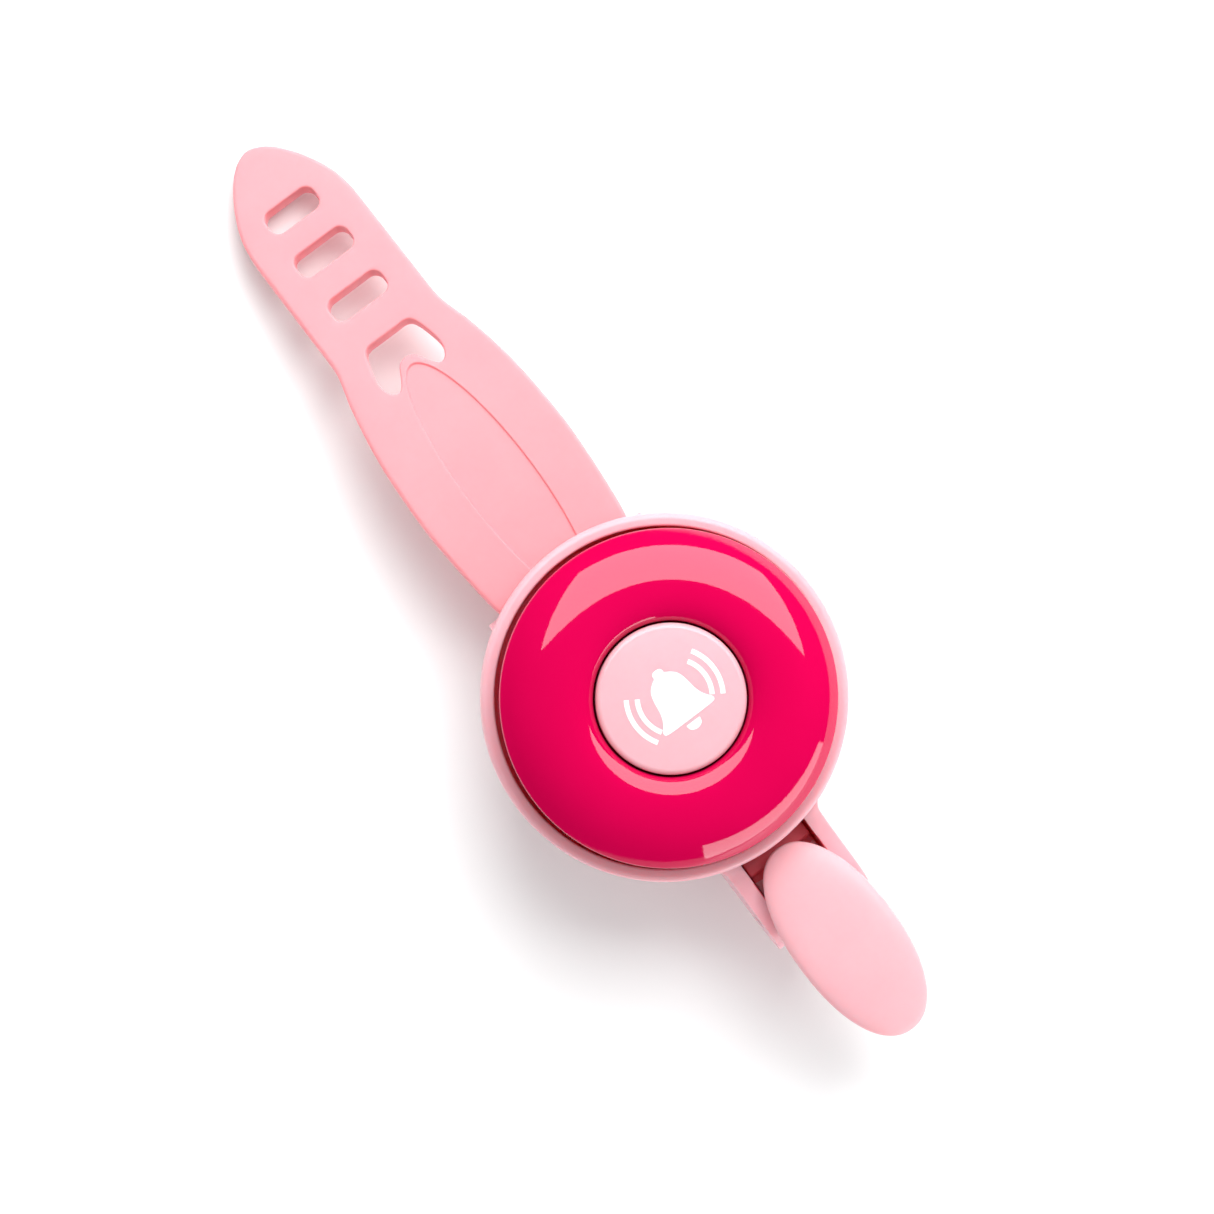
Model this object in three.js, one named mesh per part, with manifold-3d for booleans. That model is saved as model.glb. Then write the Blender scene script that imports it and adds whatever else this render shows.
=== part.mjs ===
// A small handlebar bell with a silicone strap and a thumb lever, in millimetres, +Z up.
// The origin is on the bell's axis, on the flat band of the saddle that sits on the handlebar.
import * as THREE from "three";
import { mergeVertices } from "three/addons/utils/BufferGeometryUtils.js";
import Module from "manifold-3d";

const wasm = await Module();
wasm.setup();

// Clearances
const smallGap = 0.2; // between pieces that nearly touch
const slideGap = 0.3; // beside pieces that move
const pinGap = 0.15; // round a pin, in its bore

// Bell dome
const domeRadius = 20.1;
const domeWall = 1.1;
const domeRimZ = 11.0;
const domeCrownZ = 20.0;
const domeCrownRadius = 12.5; // where the top is level
const domeArcRadius = 1.25 * (domeRadius - domeCrownRadius); // the shoulder, seen from the side
const domeEdgeRound = 0.6;
const domeRecessDrop = 1.75; // from the crown to the edge of the recess
const domeRecessRadius = 9.2;
const domeSeatZ = domeCrownZ - 5.6; // room for the screw's head under the cap
const domeHoleRadius = 3.4;

// Cup of the base
const rimGap = 0.4; // open ring between dome and cup
const cupWall = 1.55;
const cupInner = domeRadius + rimGap;
const cupOuter = cupInner + cupWall;
const cupLipZ = 11.55;
const cupFloorZ = 8.2;
const cupFloorThickness = 1.6;
const cupUnderZ = cupFloorZ - cupFloorThickness;

// Foot: the block under the cup and the cover below it
const seatBandHalf = 2.0; // flat band along the saddle's top
const grooveRadius = 11.5; // suits bars of 22.2 to 25.4 mm
const padThickness = 1.6;
const padHalfAngle = 0.84;
const landZ = -8.0;
const coverTopZ = 3.4;
const coverEndX = 16.4;
const footHalfWidth = 11.0;
const footCorner = 3.0;
const blockEndX = coverEndX - 2.2; // on the strap's side

// Lever, its ears and its pin
const pivotX = cupOuter + 6.95;
const pivotZ = 3.0;
const pivotPinRadius = 1.0;
const hubRadius = 2.4;
const channelHalf = 4.75;
const earThickness = 2.05;
const earOuter = channelHalf + earThickness;
const webThickness = 1.5; // the floor between the ears
const webTopZ = pivotZ - hubRadius - 0.5;
const earRadius = pivotZ - webTopZ + webThickness;
const leverHalf = channelHalf - slideGap;
const armStepX = cupOuter + 2.05;
const armTopZ = 5.8;
const paddleX = pivotX + 7.4;
const paddleHalfLength = 13.6;
const paddleHalfWidth = 6.55;
const paddleTopZ = 11.6;
const paddleUnderZ = 8.3;
const paddleDroop = 1.5;
const springX = pivotX + 4.4;
const springRadius = 1.45;
const springWire = 0.45;
const springTopZ = 4.8;

// Hammer
const leafThickness = 0.4;
const leafHalfWidth = 1.6;
const hammerRadius = 2.2;
const hammerHalfHeight = 2.3;
const hammerZ = domeSeatZ - 2.2;
const leafX = domeRecessRadius + domeWall + hammerRadius + leafThickness / 2;
const rivetX = leafX + 3.5;
const armInnerX = leafX - 0.7;

// Strap
const strapPinRadius = 1.25;
const strapEyeRadius = 2.6;
const strapPinX = -blockEndX - smallGap - strapEyeRadius;
const strapPinZ = cupUnderZ - 0.4 - strapEyeRadius;
const strapThickness = 2.9;
const strapStartX = strapPinX - 1.0;
const strapLength = 66.1;
const strapArc = 34.0; // the length over which it bends down
const strapHalfWide = 10.75;
const strapHalfNarrow = 7.65;
const strapRootShare = 0.868; // of the widest half-width, at the eye
const strapEyeHalf = strapHalfWide * strapRootShare + 0.12;
const slotLength = 3.3;
const slotHalfWidth = 3.9;
const slotPlaces = [strapLength - 9.6, strapLength - 16.2, strapLength - 23.2];
const windowFarS = strapLength - 29.1;
const leafReliefTipS = windowFarS - 5.0;
const leafReliefLength = 17.5;
const leafReliefS = leafReliefTipS - leafReliefLength;
const leafReliefHalf = 4.35;
const leafReliefDepth = 0.25;

// Screws in the base
const screwX = 9.5;
const screwY = 8.6;
const screwRadius = 0.95;

const pink = 0xf3bfc8;
const roundSteps = 36;

// ---- helpers ----

function makeSolid(geometry) {
  const bare = geometry.index ? geometry.toNonIndexed() : geometry.clone();
  bare.deleteAttribute("normal");
  bare.deleteAttribute("uv");
  const merged = mergeVertices(bare, 1e-4);
  const vertProperties = merged.attributes.position.array;
  const triVerts = new Uint32Array(merged.index.array);
  return new wasm.Manifold(new wasm.Mesh({ numProp: 3, vertProperties, triVerts }));
}

function makeGeometry(solid) {
  const mesh = solid.getMesh();
  const geometry = new THREE.BufferGeometry();
  const positions = new Float32Array(mesh.numVert * 3);
  for (let i = 0; i < mesh.numVert; i++) {
    positions[3 * i] = mesh.vertProperties[mesh.numProp * i];
    positions[3 * i + 1] = mesh.vertProperties[mesh.numProp * i + 1];
    positions[3 * i + 2] = mesh.vertProperties[mesh.numProp * i + 2];
  }
  geometry.setAttribute("position", new THREE.BufferAttribute(positions, 3));
  geometry.setIndex(new THREE.BufferAttribute(new Uint32Array(mesh.triVerts), 1));
  geometry.computeVertexNormals();
  return geometry;
}

// Signed area of a list of [a, b] points, positive when they run anticlockwise.
function areaOf(points) {
  let sum = 0;
  points.forEach(([a, b], i) => {
    const [c, d] = points[(i + 1) % points.length];
    sum += a * d - b * c;
  });
  return sum / 2;
}

// A profile of [radius, height] points turned about the Z axis.
function turned(points, steps = roundSteps) {
  const ordered = areaOf(points) > 0 ? points.slice() : points.slice().reverse();
  const closes = ordered.every(([r]) => r > 1e-6);
  if (closes) {
    ordered.push(ordered[0]);
  } else {
    // start and end on the axis
    const last = ordered.findIndex(([r], i) => {
      const next = ordered[(i + 1) % ordered.length];
      return r < 1e-6 && next[0] < 1e-6;
    });
    ordered.push(...ordered.splice(0, last + 1));
  }
  const profile = ordered.map(([r, z]) => new THREE.Vector2(r, z));
  const lathe = new THREE.LatheGeometry(profile, steps);
  lathe.rotateX(Math.PI / 2);
  return makeSolid(lathe);
}

function shapeOf(points) {
  return new THREE.Shape(points.map(([a, b]) => new THREE.Vector2(a, b)));
}

// A flat outline given thickness from z0 to z1, with its edges rounded by a bevel.
function slab(shape, z0, z1, bevel = 0, curveSegments = 8) {
  const geometry = new THREE.ExtrudeGeometry(shape, {
    depth: z1 - z0 - 2 * bevel,
    bevelEnabled: bevel > 0,
    bevelThickness: bevel,
    bevelSize: bevel,
    bevelOffset: -bevel,
    bevelSegments: 1,
    curveSegments,
  });
  geometry.translate(0, 0, z0 + bevel);
  return makeSolid(geometry);
}

// An outline of [x, z] points given width from y0 to y1.
function sideways(points, y0, y1) {
  const geometry = new THREE.ExtrudeGeometry(shapeOf(points), {
    depth: y1 - y0,
    bevelEnabled: false,
  });
  geometry.rotateX(Math.PI / 2);
  geometry.translate(0, y1, 0);
  return makeSolid(geometry);
}

function box(x0, x1, y0, y1, z0, z1) {
  const geometry = new THREE.BoxGeometry(x1 - x0, y1 - y0, z1 - z0);
  geometry.translate((x0 + x1) / 2, (y0 + y1) / 2, (z0 + z1) / 2);
  return makeSolid(geometry);
}

function rodZ(x, y, z0, z1, radius, steps = 24) {
  return turned([[0, z0], [radius, z0], [radius, z1], [0, z1]], steps).translate([x, y, 0]);
}

function rodY(x, z, y0, y1, radius, steps = 24) {
  const rod = turned([[0, y0], [radius, y0], [radius, y1], [0, y1]], steps);
  return rod.rotate([-90, 0, 0]).translate([x, 0, z]);
}

function roundedBox(x0, x1, y0, y1, radius) {
  const shape = new THREE.Shape();
  shape.moveTo(x0 + radius, y0);
  shape.lineTo(x1 - radius, y0);
  shape.absarc(x1 - radius, y0 + radius, radius, -Math.PI / 2, 0, false);
  shape.lineTo(x1, y1 - radius);
  shape.absarc(x1 - radius, y1 - radius, radius, 0, Math.PI / 2, false);
  shape.lineTo(x0 + radius, y1);
  shape.absarc(x0 + radius, y1 - radius, radius, Math.PI / 2, Math.PI, false);
  shape.lineTo(x0, y0 + radius);
  shape.absarc(x0 + radius, y0 + radius, radius, Math.PI, 1.5 * Math.PI, false);
  return shape;
}

function arcPoints(cx, cz, radius, from, to, steps) {
  const points = [];
  for (let i = 0; i <= steps; i++) {
    const angle = from + ((to - from) * i) / steps;
    points.push([cx + radius * Math.cos(angle), cz + radius * Math.sin(angle)]);
  }
  return points;
}

const group = new THREE.Group();
group.name = "handlebar_bell";

function place(name, solid, color, roughness, metalness = 0) {
  const material = new THREE.MeshStandardMaterial({ color, roughness, metalness });
  material.name = name + "_finish";
  const mesh = new THREE.Mesh(makeGeometry(solid), material);
  mesh.name = name;
  group.add(mesh);
}

// ---- base ----

const cupProfile = [
  [0, cupUnderZ],
  [cupOuter - 2.0, cupUnderZ],
  [cupOuter - 0.9, cupUnderZ + 0.35],
  [cupOuter - 0.25, cupUnderZ + 1.05],
  [cupOuter, cupUnderZ + 2.0],
  ...arcPoints(cupOuter - cupWall / 2, cupLipZ - cupWall / 2, cupWall / 2, 0, Math.PI, 4),
  [cupInner, cupFloorZ + 0.6],
  [cupInner - 0.6, cupFloorZ],
  [0, cupFloorZ],
];
const cup = turned(cupProfile, 48);
const innerCup = rodZ(0, 0, cupFloorZ, cupLipZ + 1, cupInner - 0.01, 48);

const postRadius = 4.3;
const postTopZ = domeSeatZ - domeWall - 1.4;
const post = rodZ(0, 0, cupUnderZ, postTopZ, postRadius, 32);
const block = slab(roundedBox(-blockEndX, coverEndX, -footHalfWidth, footHalfWidth, footCorner),
  coverTopZ + smallGap, cupUnderZ + 0.5);

// each ear is where its side view and its top view cross
const earBottomZ = pivotZ - earRadius;
const earSide = [
  [coverEndX + slideGap, earBottomZ],
  ...arcPoints(pivotX, pivotZ, earRadius, -Math.PI / 2, Math.PI / 2, 16),
  [pivotX - 5.4, cupUnderZ + 1.7],
  [pivotX - 8.6, cupUnderZ + 3.0],
  [coverEndX + slideGap, cupUnderZ + 3.0],
];
const earTop = [
  [coverEndX + slideGap, channelHalf],
  [pivotX + earRadius + 1, channelHalf],
  [pivotX + earRadius + 1, earOuter],
  [cupOuter + 1.4, earOuter],
  [cupOuter + 0.2, earOuter + 0.35],
  [cupOuter - 1.1, earOuter + 1.5],
  [coverEndX + slideGap, earOuter + 1.5],
];
const earPlan = slab(shapeOf(earTop), earBottomZ - 1, 10.5);
const earSlab = sideways(earSide, 0, 12);
const ear = earSlab.intersect(earPlan).subtract(innerCup);
const web = slab(roundedBox(coverEndX + slideGap, pivotX + 3.6, -earOuter, earOuter, 1.0),
  earBottomZ, webTopZ);
const springTongue = slab(roundedBox(pivotX, springX + 2.3, -2.4, 2.4, 2.2), earBottomZ, webTopZ);

// lugs that carry the strap's pin
const lugInner = strapEyeHalf + slideGap + pinGap;
const lugSide = [
  ...arcPoints(strapPinX, strapPinZ, 2.3, Math.PI / 2, 1.5 * Math.PI, 10),
  [-blockEndX - 0.6, strapPinZ - 2.1],
  [-blockEndX - 0.6, coverTopZ + smallGap],
  [-blockEndX + 3.2, coverTopZ + smallGap],
  [-blockEndX + 3.2, cupUnderZ + 0.3],
  [strapPinX - 1.6, cupUnderZ + 0.3],
];
const lug = sideways(lugSide, lugInner, lugInner + 1.6);

let housing = cup.add(block).add(post);
housing = housing.add(ear).add(ear.mirror([0, 1, 0])).add(web).add(springTongue);
housing = housing.add(lug).add(lug.mirror([0, 1, 0]));
// room for the lever arm: a slot in the floor, a window under the lip, a way through the block
housing = housing.subtract(box(armInnerX - 3.5, cupInner - 0.6, -channelHalf, channelHalf, 1, 12));
const windowTopZ = cupFloorZ - 0.2;
housing = housing.subtract(box(cupInner - 2, cupOuter + 2, -channelHalf, channelHalf, 1, windowTopZ));
housing = housing.subtract(rodY(pivotX, pivotZ, -12, 12, pivotPinRadius + pinGap));
housing = housing.subtract(rodY(strapPinX, strapPinZ, -14, 14, strapPinRadius + pinGap));
const insertRadius = 2.3;
const insertZ = postTopZ - 4.5;
housing = housing.subtract(rodZ(0, 0, insertZ - smallGap, postTopZ + 1, insertRadius + pinGap));
for (const x of [-screwX, screwX]) {
  for (const y of [-screwY, screwY]) {
    housing = housing.subtract(rodZ(x, y, 0, 9, screwRadius + pinGap, 14));
  }
}
place("base_housing", housing, pink, 0.42);

// cover: a foot with the bar's groove across it, a bed for the pad and a pocket for the arm
const grooveAxisZ = -grooveRadius;
const bedRadius = grooveRadius + padThickness + smallGap;
const padShape = [];
const bandAngle = Math.PI / 2 - Math.asin(seatBandHalf / grooveRadius);
// the pad's band is flat at z = 0; beside it the groove is round
const padInner = arcPoints(0, grooveAxisZ, grooveRadius, bandAngle, Math.PI / 2 - padHalfAngle, 10);
const bandDrop = padInner[0][1];
const padRight = padInner.map(([x, z], i) => [x, z - bandDrop * (1 - i / 10)]);
const padOuter = arcPoints(0, grooveAxisZ, grooveRadius + padThickness,
  Math.PI / 2 - padHalfAngle, Math.PI / 2 + padHalfAngle, 24);
const padLeft = padRight.map(([x, z]) => [-x, z]).reverse();
padShape.push(...padRight, ...padOuter, ...padLeft);

const footPlan = roundedBox(-coverEndX, coverEndX, -footHalfWidth, footHalfWidth, footCorner);
let cover = slab(footPlan, landZ, coverTopZ, 0.5);
const bedPoints = arcPoints(0, grooveAxisZ, bedRadius, Math.PI / 2 - padHalfAngle - 0.03,
  Math.PI / 2 + padHalfAngle + 0.03, 24);
const bed = [...bedPoints, [-1, grooveAxisZ], [1, grooveAxisZ]];
cover = cover.subtract(sideways(bed, -footHalfWidth - 1, footHalfWidth + 1));
const barRadius = grooveRadius + slideGap;
const barStart = Math.asin((landZ - 2 - grooveAxisZ) / barRadius);
const barGroove = arcPoints(0, grooveAxisZ, barRadius, barStart, Math.PI - barStart, 24);
cover = cover.subtract(sideways(barGroove, -footHalfWidth - 1, footHalfWidth + 1));
// the strap's eye swings in the open end above the cover
const eyeRoom = rodY(strapPinX, strapPinZ, -14, 14, strapEyeRadius + slideGap, 40);
cover = cover.subtract(eyeRoom);
cover = cover.subtract(box(-30, strapPinX, -14, 14, strapPinZ - 3, 12));
cover = cover.subtract(box(-30, -blockEndX - 0.2, -14, 14, strapPinZ - 2.4, 12));
// pocket under the arm, open toward the channel
const pocketZ = 0.9;
cover = cover.subtract(box(armInnerX - 1.4, coverEndX + 2, -channelHalf, channelHalf, pocketZ, 12));
for (const x of [-screwX, screwX]) {
  for (const y of [-screwY, screwY]) {
    cover = cover.subtract(rodZ(x, y, -0.4, 9, screwRadius + pinGap, 14));
  }
}
// hook that the strap's slots go over
const hookSide = [
  [-1.0, -2.4],
  [3.9, -2.4],
  [4.6, -2.8],
  [5.6, -4.7],
  [6.5, -4.9],
  [6.9, -5.5],
  [6.8, -6.3],
  [6.0, -7.2],
  [4.8, -7.2],
  [2.8, -4.6],
  [2.2, -4.4],
  [-1.0, -4.8],
].map(([x, z]) => [coverEndX + x, z]);
cover = cover.add(sideways(hookSide, -slotHalfWidth + 0.7, slotHalfWidth - 0.7));
place("bottom_cover", cover, 0xeeb3be, 0.48);

const pad = sideways(padShape, -footHalfWidth + 0.3, footHalfWidth - 0.3);
place("saddle_pad", pad, 0xe995a5, 0.7);

const strapPin = rodY(strapPinX, strapPinZ, -lugInner - 1.6, lugInner + 1.6, strapPinRadius);
place("strap_pin", strapPin, 0xc9ccd1, 0.3, 1);

const pinBody = rodY(pivotX, pivotZ, -earOuter + 0.1, earOuter - 0.1, pivotPinRadius);
place("pivot_pin", pinBody, 0xc9ccd1, 0.3, 1);

function panScrew(headZ, headRadius, headHeight, shank, tipZ) {
  const body = turned([
    [0, tipZ],
    [shank * 0.55, tipZ],
    [shank, tipZ + 0.7],
    [shank, headZ],
    [headRadius, headZ],
    [headRadius, headZ + headHeight * 0.55],
    [headRadius * 0.72, headZ + headHeight],
    [0, headZ + headHeight],
  ], 16);
  const arm = headRadius * 0.55;
  const slotA = box(-arm, arm, -0.25, 0.25, headZ + headHeight - 0.7, headZ + headHeight + 1);
  const slotB = box(-0.25, 0.25, -arm, arm, headZ + headHeight - 0.7, headZ + headHeight + 1);
  return body.subtract(slotA).subtract(slotB);
}
let screwNumber = 1;
for (const x of [-screwX, screwX]) {
  for (const y of [-screwY, screwY]) {
    const screw = panScrew(cupFloorZ + smallGap, 1.75, 1.3, screwRadius, -0.1);
    place("cover_screw_" + screwNumber, screw.translate([x, y, 0]), 0xb9bcc2, 0.35, 1);
    screwNumber += 1;
  }
}

// ---- dome and what holds it ----

// the side, rounded edge, shoulder and crown of a dome, as [radius, z] points from its rim up
const arcCentreZ = domeCrownZ - domeArcRadius;
function shoulderPoints(side, arcRadius, edgeRound, edgeSteps) {
  const across = side - edgeRound - domeCrownRadius;
  const edgeZ = arcCentreZ + Math.sqrt((arcRadius - edgeRound) ** 2 - across ** 2);
  const edgeAngle = Math.atan2(edgeZ - arcCentreZ, across);
  const edge = arcPoints(side - edgeRound, edgeZ, edgeRound, 0, edgeAngle, edgeSteps);
  const arc = arcPoints(domeCrownRadius, arcCentreZ, arcRadius, edgeAngle, Math.PI / 2, 7);
  return [[side, domeRimZ], ...edge, ...arc.slice(1)];
}

// from the crown down into the recess, along a quarter of an ellipse
function dipPoints(recess, crownZ) {
  const steps = 5;
  const points = [];
  for (let i = 1; i <= steps; i++) {
    const angle = (i / steps) * (Math.PI / 2);
    points.push([
      domeCrownRadius - (domeCrownRadius - recess) * Math.sin(angle),
      crownZ - domeRecessDrop * (1 - Math.cos(angle)),
    ]);
  }
  return points;
}

const domeInnerSide = [
  ...shoulderPoints(domeRadius - domeWall, domeArcRadius - domeWall, 0.3, 2),
  ...dipPoints(domeRecessRadius + domeWall, domeCrownZ - domeWall),
];
const domeProfile = [
  ...shoulderPoints(domeRadius, domeArcRadius, domeEdgeRound, 3),
  ...dipPoints(domeRecessRadius, domeCrownZ),
  [domeRecessRadius, domeSeatZ + 0.5],
  [domeRecessRadius - 0.5, domeSeatZ],
  [domeHoleRadius, domeSeatZ],
  [domeHoleRadius, domeSeatZ - domeWall],
  [domeRecessRadius + 0.4, domeSeatZ - domeWall],
  [domeRecessRadius + domeWall, domeSeatZ - 0.3],
  ...domeInnerSide.reverse(),
];
place("bell_dome", turned(domeProfile, 40), 0xe2005b, 0.1);

const domeScrewRadius = 1.4;
const stackBore = domeScrewRadius + slideGap; // through all that the dome's screw holds
const isolatorRadius = 6.2;
const isolatorLower = turned([
  [stackBore, postTopZ + smallGap],
  [isolatorRadius, postTopZ + smallGap],
  [isolatorRadius, domeSeatZ - domeWall - smallGap],
  [stackBore, domeSeatZ - domeWall - smallGap],
], 32);
place("isolator_lower", isolatorLower, 0x4a4a4d, 0.85);

const capRadius = domeRecessRadius - 0.35;
const capBoreRadius = capRadius - 1.35;
const flangeRadius = capBoreRadius - 1.2;
const spigotRadius = domeHoleRadius - smallGap;
const isolatorUpper = turned([
  [stackBore, domeSeatZ - domeWall + 0.1],
  [spigotRadius, domeSeatZ - domeWall + 0.1],
  [spigotRadius, domeSeatZ + smallGap],
  [flangeRadius, domeSeatZ + smallGap],
  [flangeRadius, domeSeatZ + 1.0],
  [stackBore, domeSeatZ + 1.0],
], 32);
place("isolator_upper", isolatorUpper, 0x4a4a4d, 0.85);

const retainerZ = domeSeatZ + 1.2;
const retainer = turned([
  [stackBore, retainerZ],
  [capBoreRadius - smallGap, retainerZ],
  [capBoreRadius - smallGap, retainerZ + 1.7],
  [capBoreRadius - 1.3, retainerZ + 1.7],
  [capBoreRadius - 1.3, retainerZ + 0.8],
  [stackBore, retainerZ + 0.8],
], 40);
place("cap_retainer", retainer, 0xf1eef0, 0.5);

const washerZ = retainerZ + 1.0;
const washerRadius = capBoreRadius - 2.9;
const washer = turned([
  [stackBore, washerZ],
  [washerRadius, washerZ],
  [washerRadius, washerZ + 0.4],
  [stackBore, washerZ + 0.4],
], 32);
place("dome_washer", washer, 0xc9ccd1, 0.3, 1);

const headZ = washerZ + 0.4 + smallGap;
place("dome_screw", panScrew(headZ, 3.0, 1.3, domeScrewRadius, insertZ + 0.8), 0xc9ccd1, 0.3, 1);

const insert = turned([
  [1.6, insertZ],
  [insertRadius, insertZ],
  [insertRadius, postTopZ - smallGap],
  [1.6, postTopZ - smallGap],
], 28);
place("post_insert", insert, 0xb8924a, 0.35, 1);

const capTopZ = domeCrownZ - 0.2;
const cap = turned([
  [capRadius - 0.1, domeSeatZ + smallGap + 0.5],
  [capRadius - 0.1, capTopZ - 1.9],
  [capRadius, capTopZ - 1.7],
  [capRadius, capTopZ - 1.1],
  [capRadius - 0.2, capTopZ - 0.7],
  [capRadius - 0.6, capTopZ - 0.47],
  [capRadius * 0.72, capTopZ - 0.2],
  [capRadius * 0.36, capTopZ - 0.05],
  [0, capTopZ],
  [0, capTopZ - 1.05],
  [capBoreRadius, capTopZ - 1.3],
  [capBoreRadius, domeSeatZ + smallGap + 0.5],
], roundSteps);
place("centre_cap", cap, 0xf6c3cd, 0.25);

// ---- lever ----

// the paddle: a pillow on a rounded oval plan, its long ends drooping
function pillow() {
  const around = 44;
  const rings = 6;
  const positions = [];
  const faces = [];
  const oval = (angle, scale) => {
    const c = Math.cos(angle);
    const s = Math.sin(angle);
    const n = 2 / 2.15;
    return [
      paddleHalfLength * scale * Math.sign(c) * Math.abs(c) ** n,
      paddleHalfWidth * scale * Math.sign(s) * Math.abs(s) ** n,
    ];
  };
  const droop = (x) => -paddleDroop * (x / paddleHalfLength) ** 2;
  const middle = (paddleTopZ + paddleUnderZ) / 2 + 0.1;
  // rings run from the middle of the top over the edge to the middle of the underside
  const profile = [];
  for (let i = 1; i <= rings; i++) {
    const angle = (i / rings) * (Math.PI / 2);
    profile.push([Math.sin(angle) ** 0.8, middle + (paddleTopZ - middle) * Math.cos(angle) ** 0.62]);
  }
  for (let i = 1; i < rings; i++) {
    const angle = (1 - i / rings) * (Math.PI / 2);
    profile.push([Math.sin(angle) ** 0.6, middle - (middle - paddleUnderZ) * Math.cos(angle) ** 0.55]);
  }
  positions.push([0, 0, paddleTopZ]);
  for (const [scale, z] of profile) {
    for (let j = 0; j < around; j++) {
      const [x, y] = oval((2 * Math.PI * j) / around, scale);
      positions.push([x, y, z + droop(x)]);
    }
  }
  positions.push([0, 0, paddleUnderZ]);
  const last = positions.length - 1;
  for (let j = 0; j < around; j++) {
    const k = (j + 1) % around;
    faces.push([0, 1 + j, 1 + k]);
    for (let i = 0; i < profile.length - 1; i++) {
      const a = 1 + i * around + j;
      const b = 1 + i * around + k;
      faces.push([a, a + around, b + around]);
      faces.push([a, b + around, b]);
    }
    const base = 1 + (profile.length - 1) * around;
    faces.push([last, base + k, base + j]);
  }
  const geometry = new THREE.BufferGeometry();
  geometry.setAttribute("position", new THREE.Float32BufferAttribute(positions.flat(), 3));
  geometry.setIndex(faces.flat());
  return makeSolid(geometry).translate([paddleX, 0, 0]);
}
const stemHalf = leverHalf - 0.4;
const armSide = [
  [armInnerX, armTopZ],
  [armInnerX, pivotZ + 0.6],
  [armInnerX + 1.2, pivotZ - 0.6],
  [pivotX - 1.5, pivotZ - 0.9],
  [pivotX, pivotZ + 2.2],
  [pivotX - 2.2, pivotZ + 1.6],
  [armStepX, pivotZ + 1.4],
  [armStepX, armTopZ],
];
const stemSide = [
  [pivotX - 2.3, pivotZ + 0.2],
  [pivotX + 2.2, pivotZ - 0.2],
  [pivotX + 2.3, springTopZ + 0.3],
  [springX + 1.5, springTopZ + 0.3],
  [springX + 1.7, paddleUnderZ + 1.6],
  [pivotX - 3.6, paddleUnderZ + 1.6],
  [pivotX - 3.2, paddleUnderZ - 0.6],
];
let lever = pillow();
lever = lever.add(sideways(stemSide, -stemHalf, stemHalf));
lever = lever.add(sideways(armSide, -leverHalf, leverHalf));
lever = lever.add(rodY(pivotX, pivotZ, -leverHalf, leverHalf, hubRadius, 32));
lever = lever.subtract(rodY(pivotX, pivotZ, -9, 9, pivotPinRadius + pinGap));
lever = lever.subtract(rodZ(rivetX, 0, 4.2, 9, 0.8 + pinGap, 20));
place("thumb_lever", lever, 0xf5bcc6, 0.4);

// a spring drawn along a helix, its ends closed
class Helix extends THREE.Curve {
  constructor(radius, z0, z1, turns) {
    super();
    this.radius = radius;
    this.z0 = z0;
    this.z1 = z1;
    this.turns = turns;
  }
  getPoint(t, target = new THREE.Vector3()) {
    const angle = 2 * Math.PI * this.turns * t;
    const z = this.z0 + (this.z1 - this.z0) * t;
    return target.set(this.radius * Math.cos(angle), this.radius * Math.sin(angle), z);
  }
}
const wireRing = new THREE.Shape();
wireRing.absarc(0, 0, springWire / 2, 0, 2 * Math.PI, false);
const springBottomZ = webTopZ + smallGap / 2 + springWire / 2;
const helix = new Helix(springRadius - springWire / 2, springBottomZ,
  springTopZ + 0.1 - springWire / 2, 5);
const springCoil = new THREE.ExtrudeGeometry(wireRing, {
  steps: 50,
  curveSegments: 3,
  bevelEnabled: false,
  extrudePath: helix,
});
place("return_spring", makeSolid(springCoil).translate([springX, 0, 0]), 0xaeb2b8, 0.3, 1);

const bumperPlan = roundedBox(armInnerX - 0.4, armInnerX + 3.4, -2.6, 2.6, 0.8);
const bumper = slab(bumperPlan, pocketZ + smallGap / 2, pivotZ - 0.85, 0, 3);
place("lever_bumper", bumper, 0x55474b, 0.9);

// ---- hammer ----

const leafFootZ = armTopZ + smallGap / 2;
const leafTopZ = hammerZ + 0.6;
const leafSide = [
  [leafX - leafThickness, leafFootZ + 0.5],
  [leafX - leafThickness + 0.15, leafFootZ + 0.15],
  [leafX + 0.1, leafFootZ],
  [rivetX + 1.9, leafFootZ],
  [rivetX + 1.9, leafFootZ + leafThickness],
  [leafX + 0.2, leafFootZ + leafThickness],
  [leafX, leafFootZ + leafThickness + 0.25],
  [leafX, leafTopZ],
  [leafX - leafThickness, leafTopZ],
];
let leaf = sideways(leafSide, -leafHalfWidth, leafHalfWidth);
leaf = leaf.subtract(rodZ(rivetX, 0, 4, 9, 0.8 + pinGap, 20));
place("hammer_leaf", leaf, 0xc4c7cc, 0.28, 1);

const rivet = turned([
  [0, 4.4],
  [0.8, 4.4],
  [0.8, leafFootZ + leafThickness + 0.1],
  [1.6, leafFootZ + leafThickness + 0.1],
  [1.45, leafFootZ + leafThickness + 0.5],
  [0.8, leafFootZ + leafThickness + 0.75],
  [0, leafFootZ + leafThickness + 0.8],
], 24);
place("leaf_rivet", rivet.translate([rivetX, 0, 0]), 0xb9bcc2, 0.35, 1);

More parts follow.
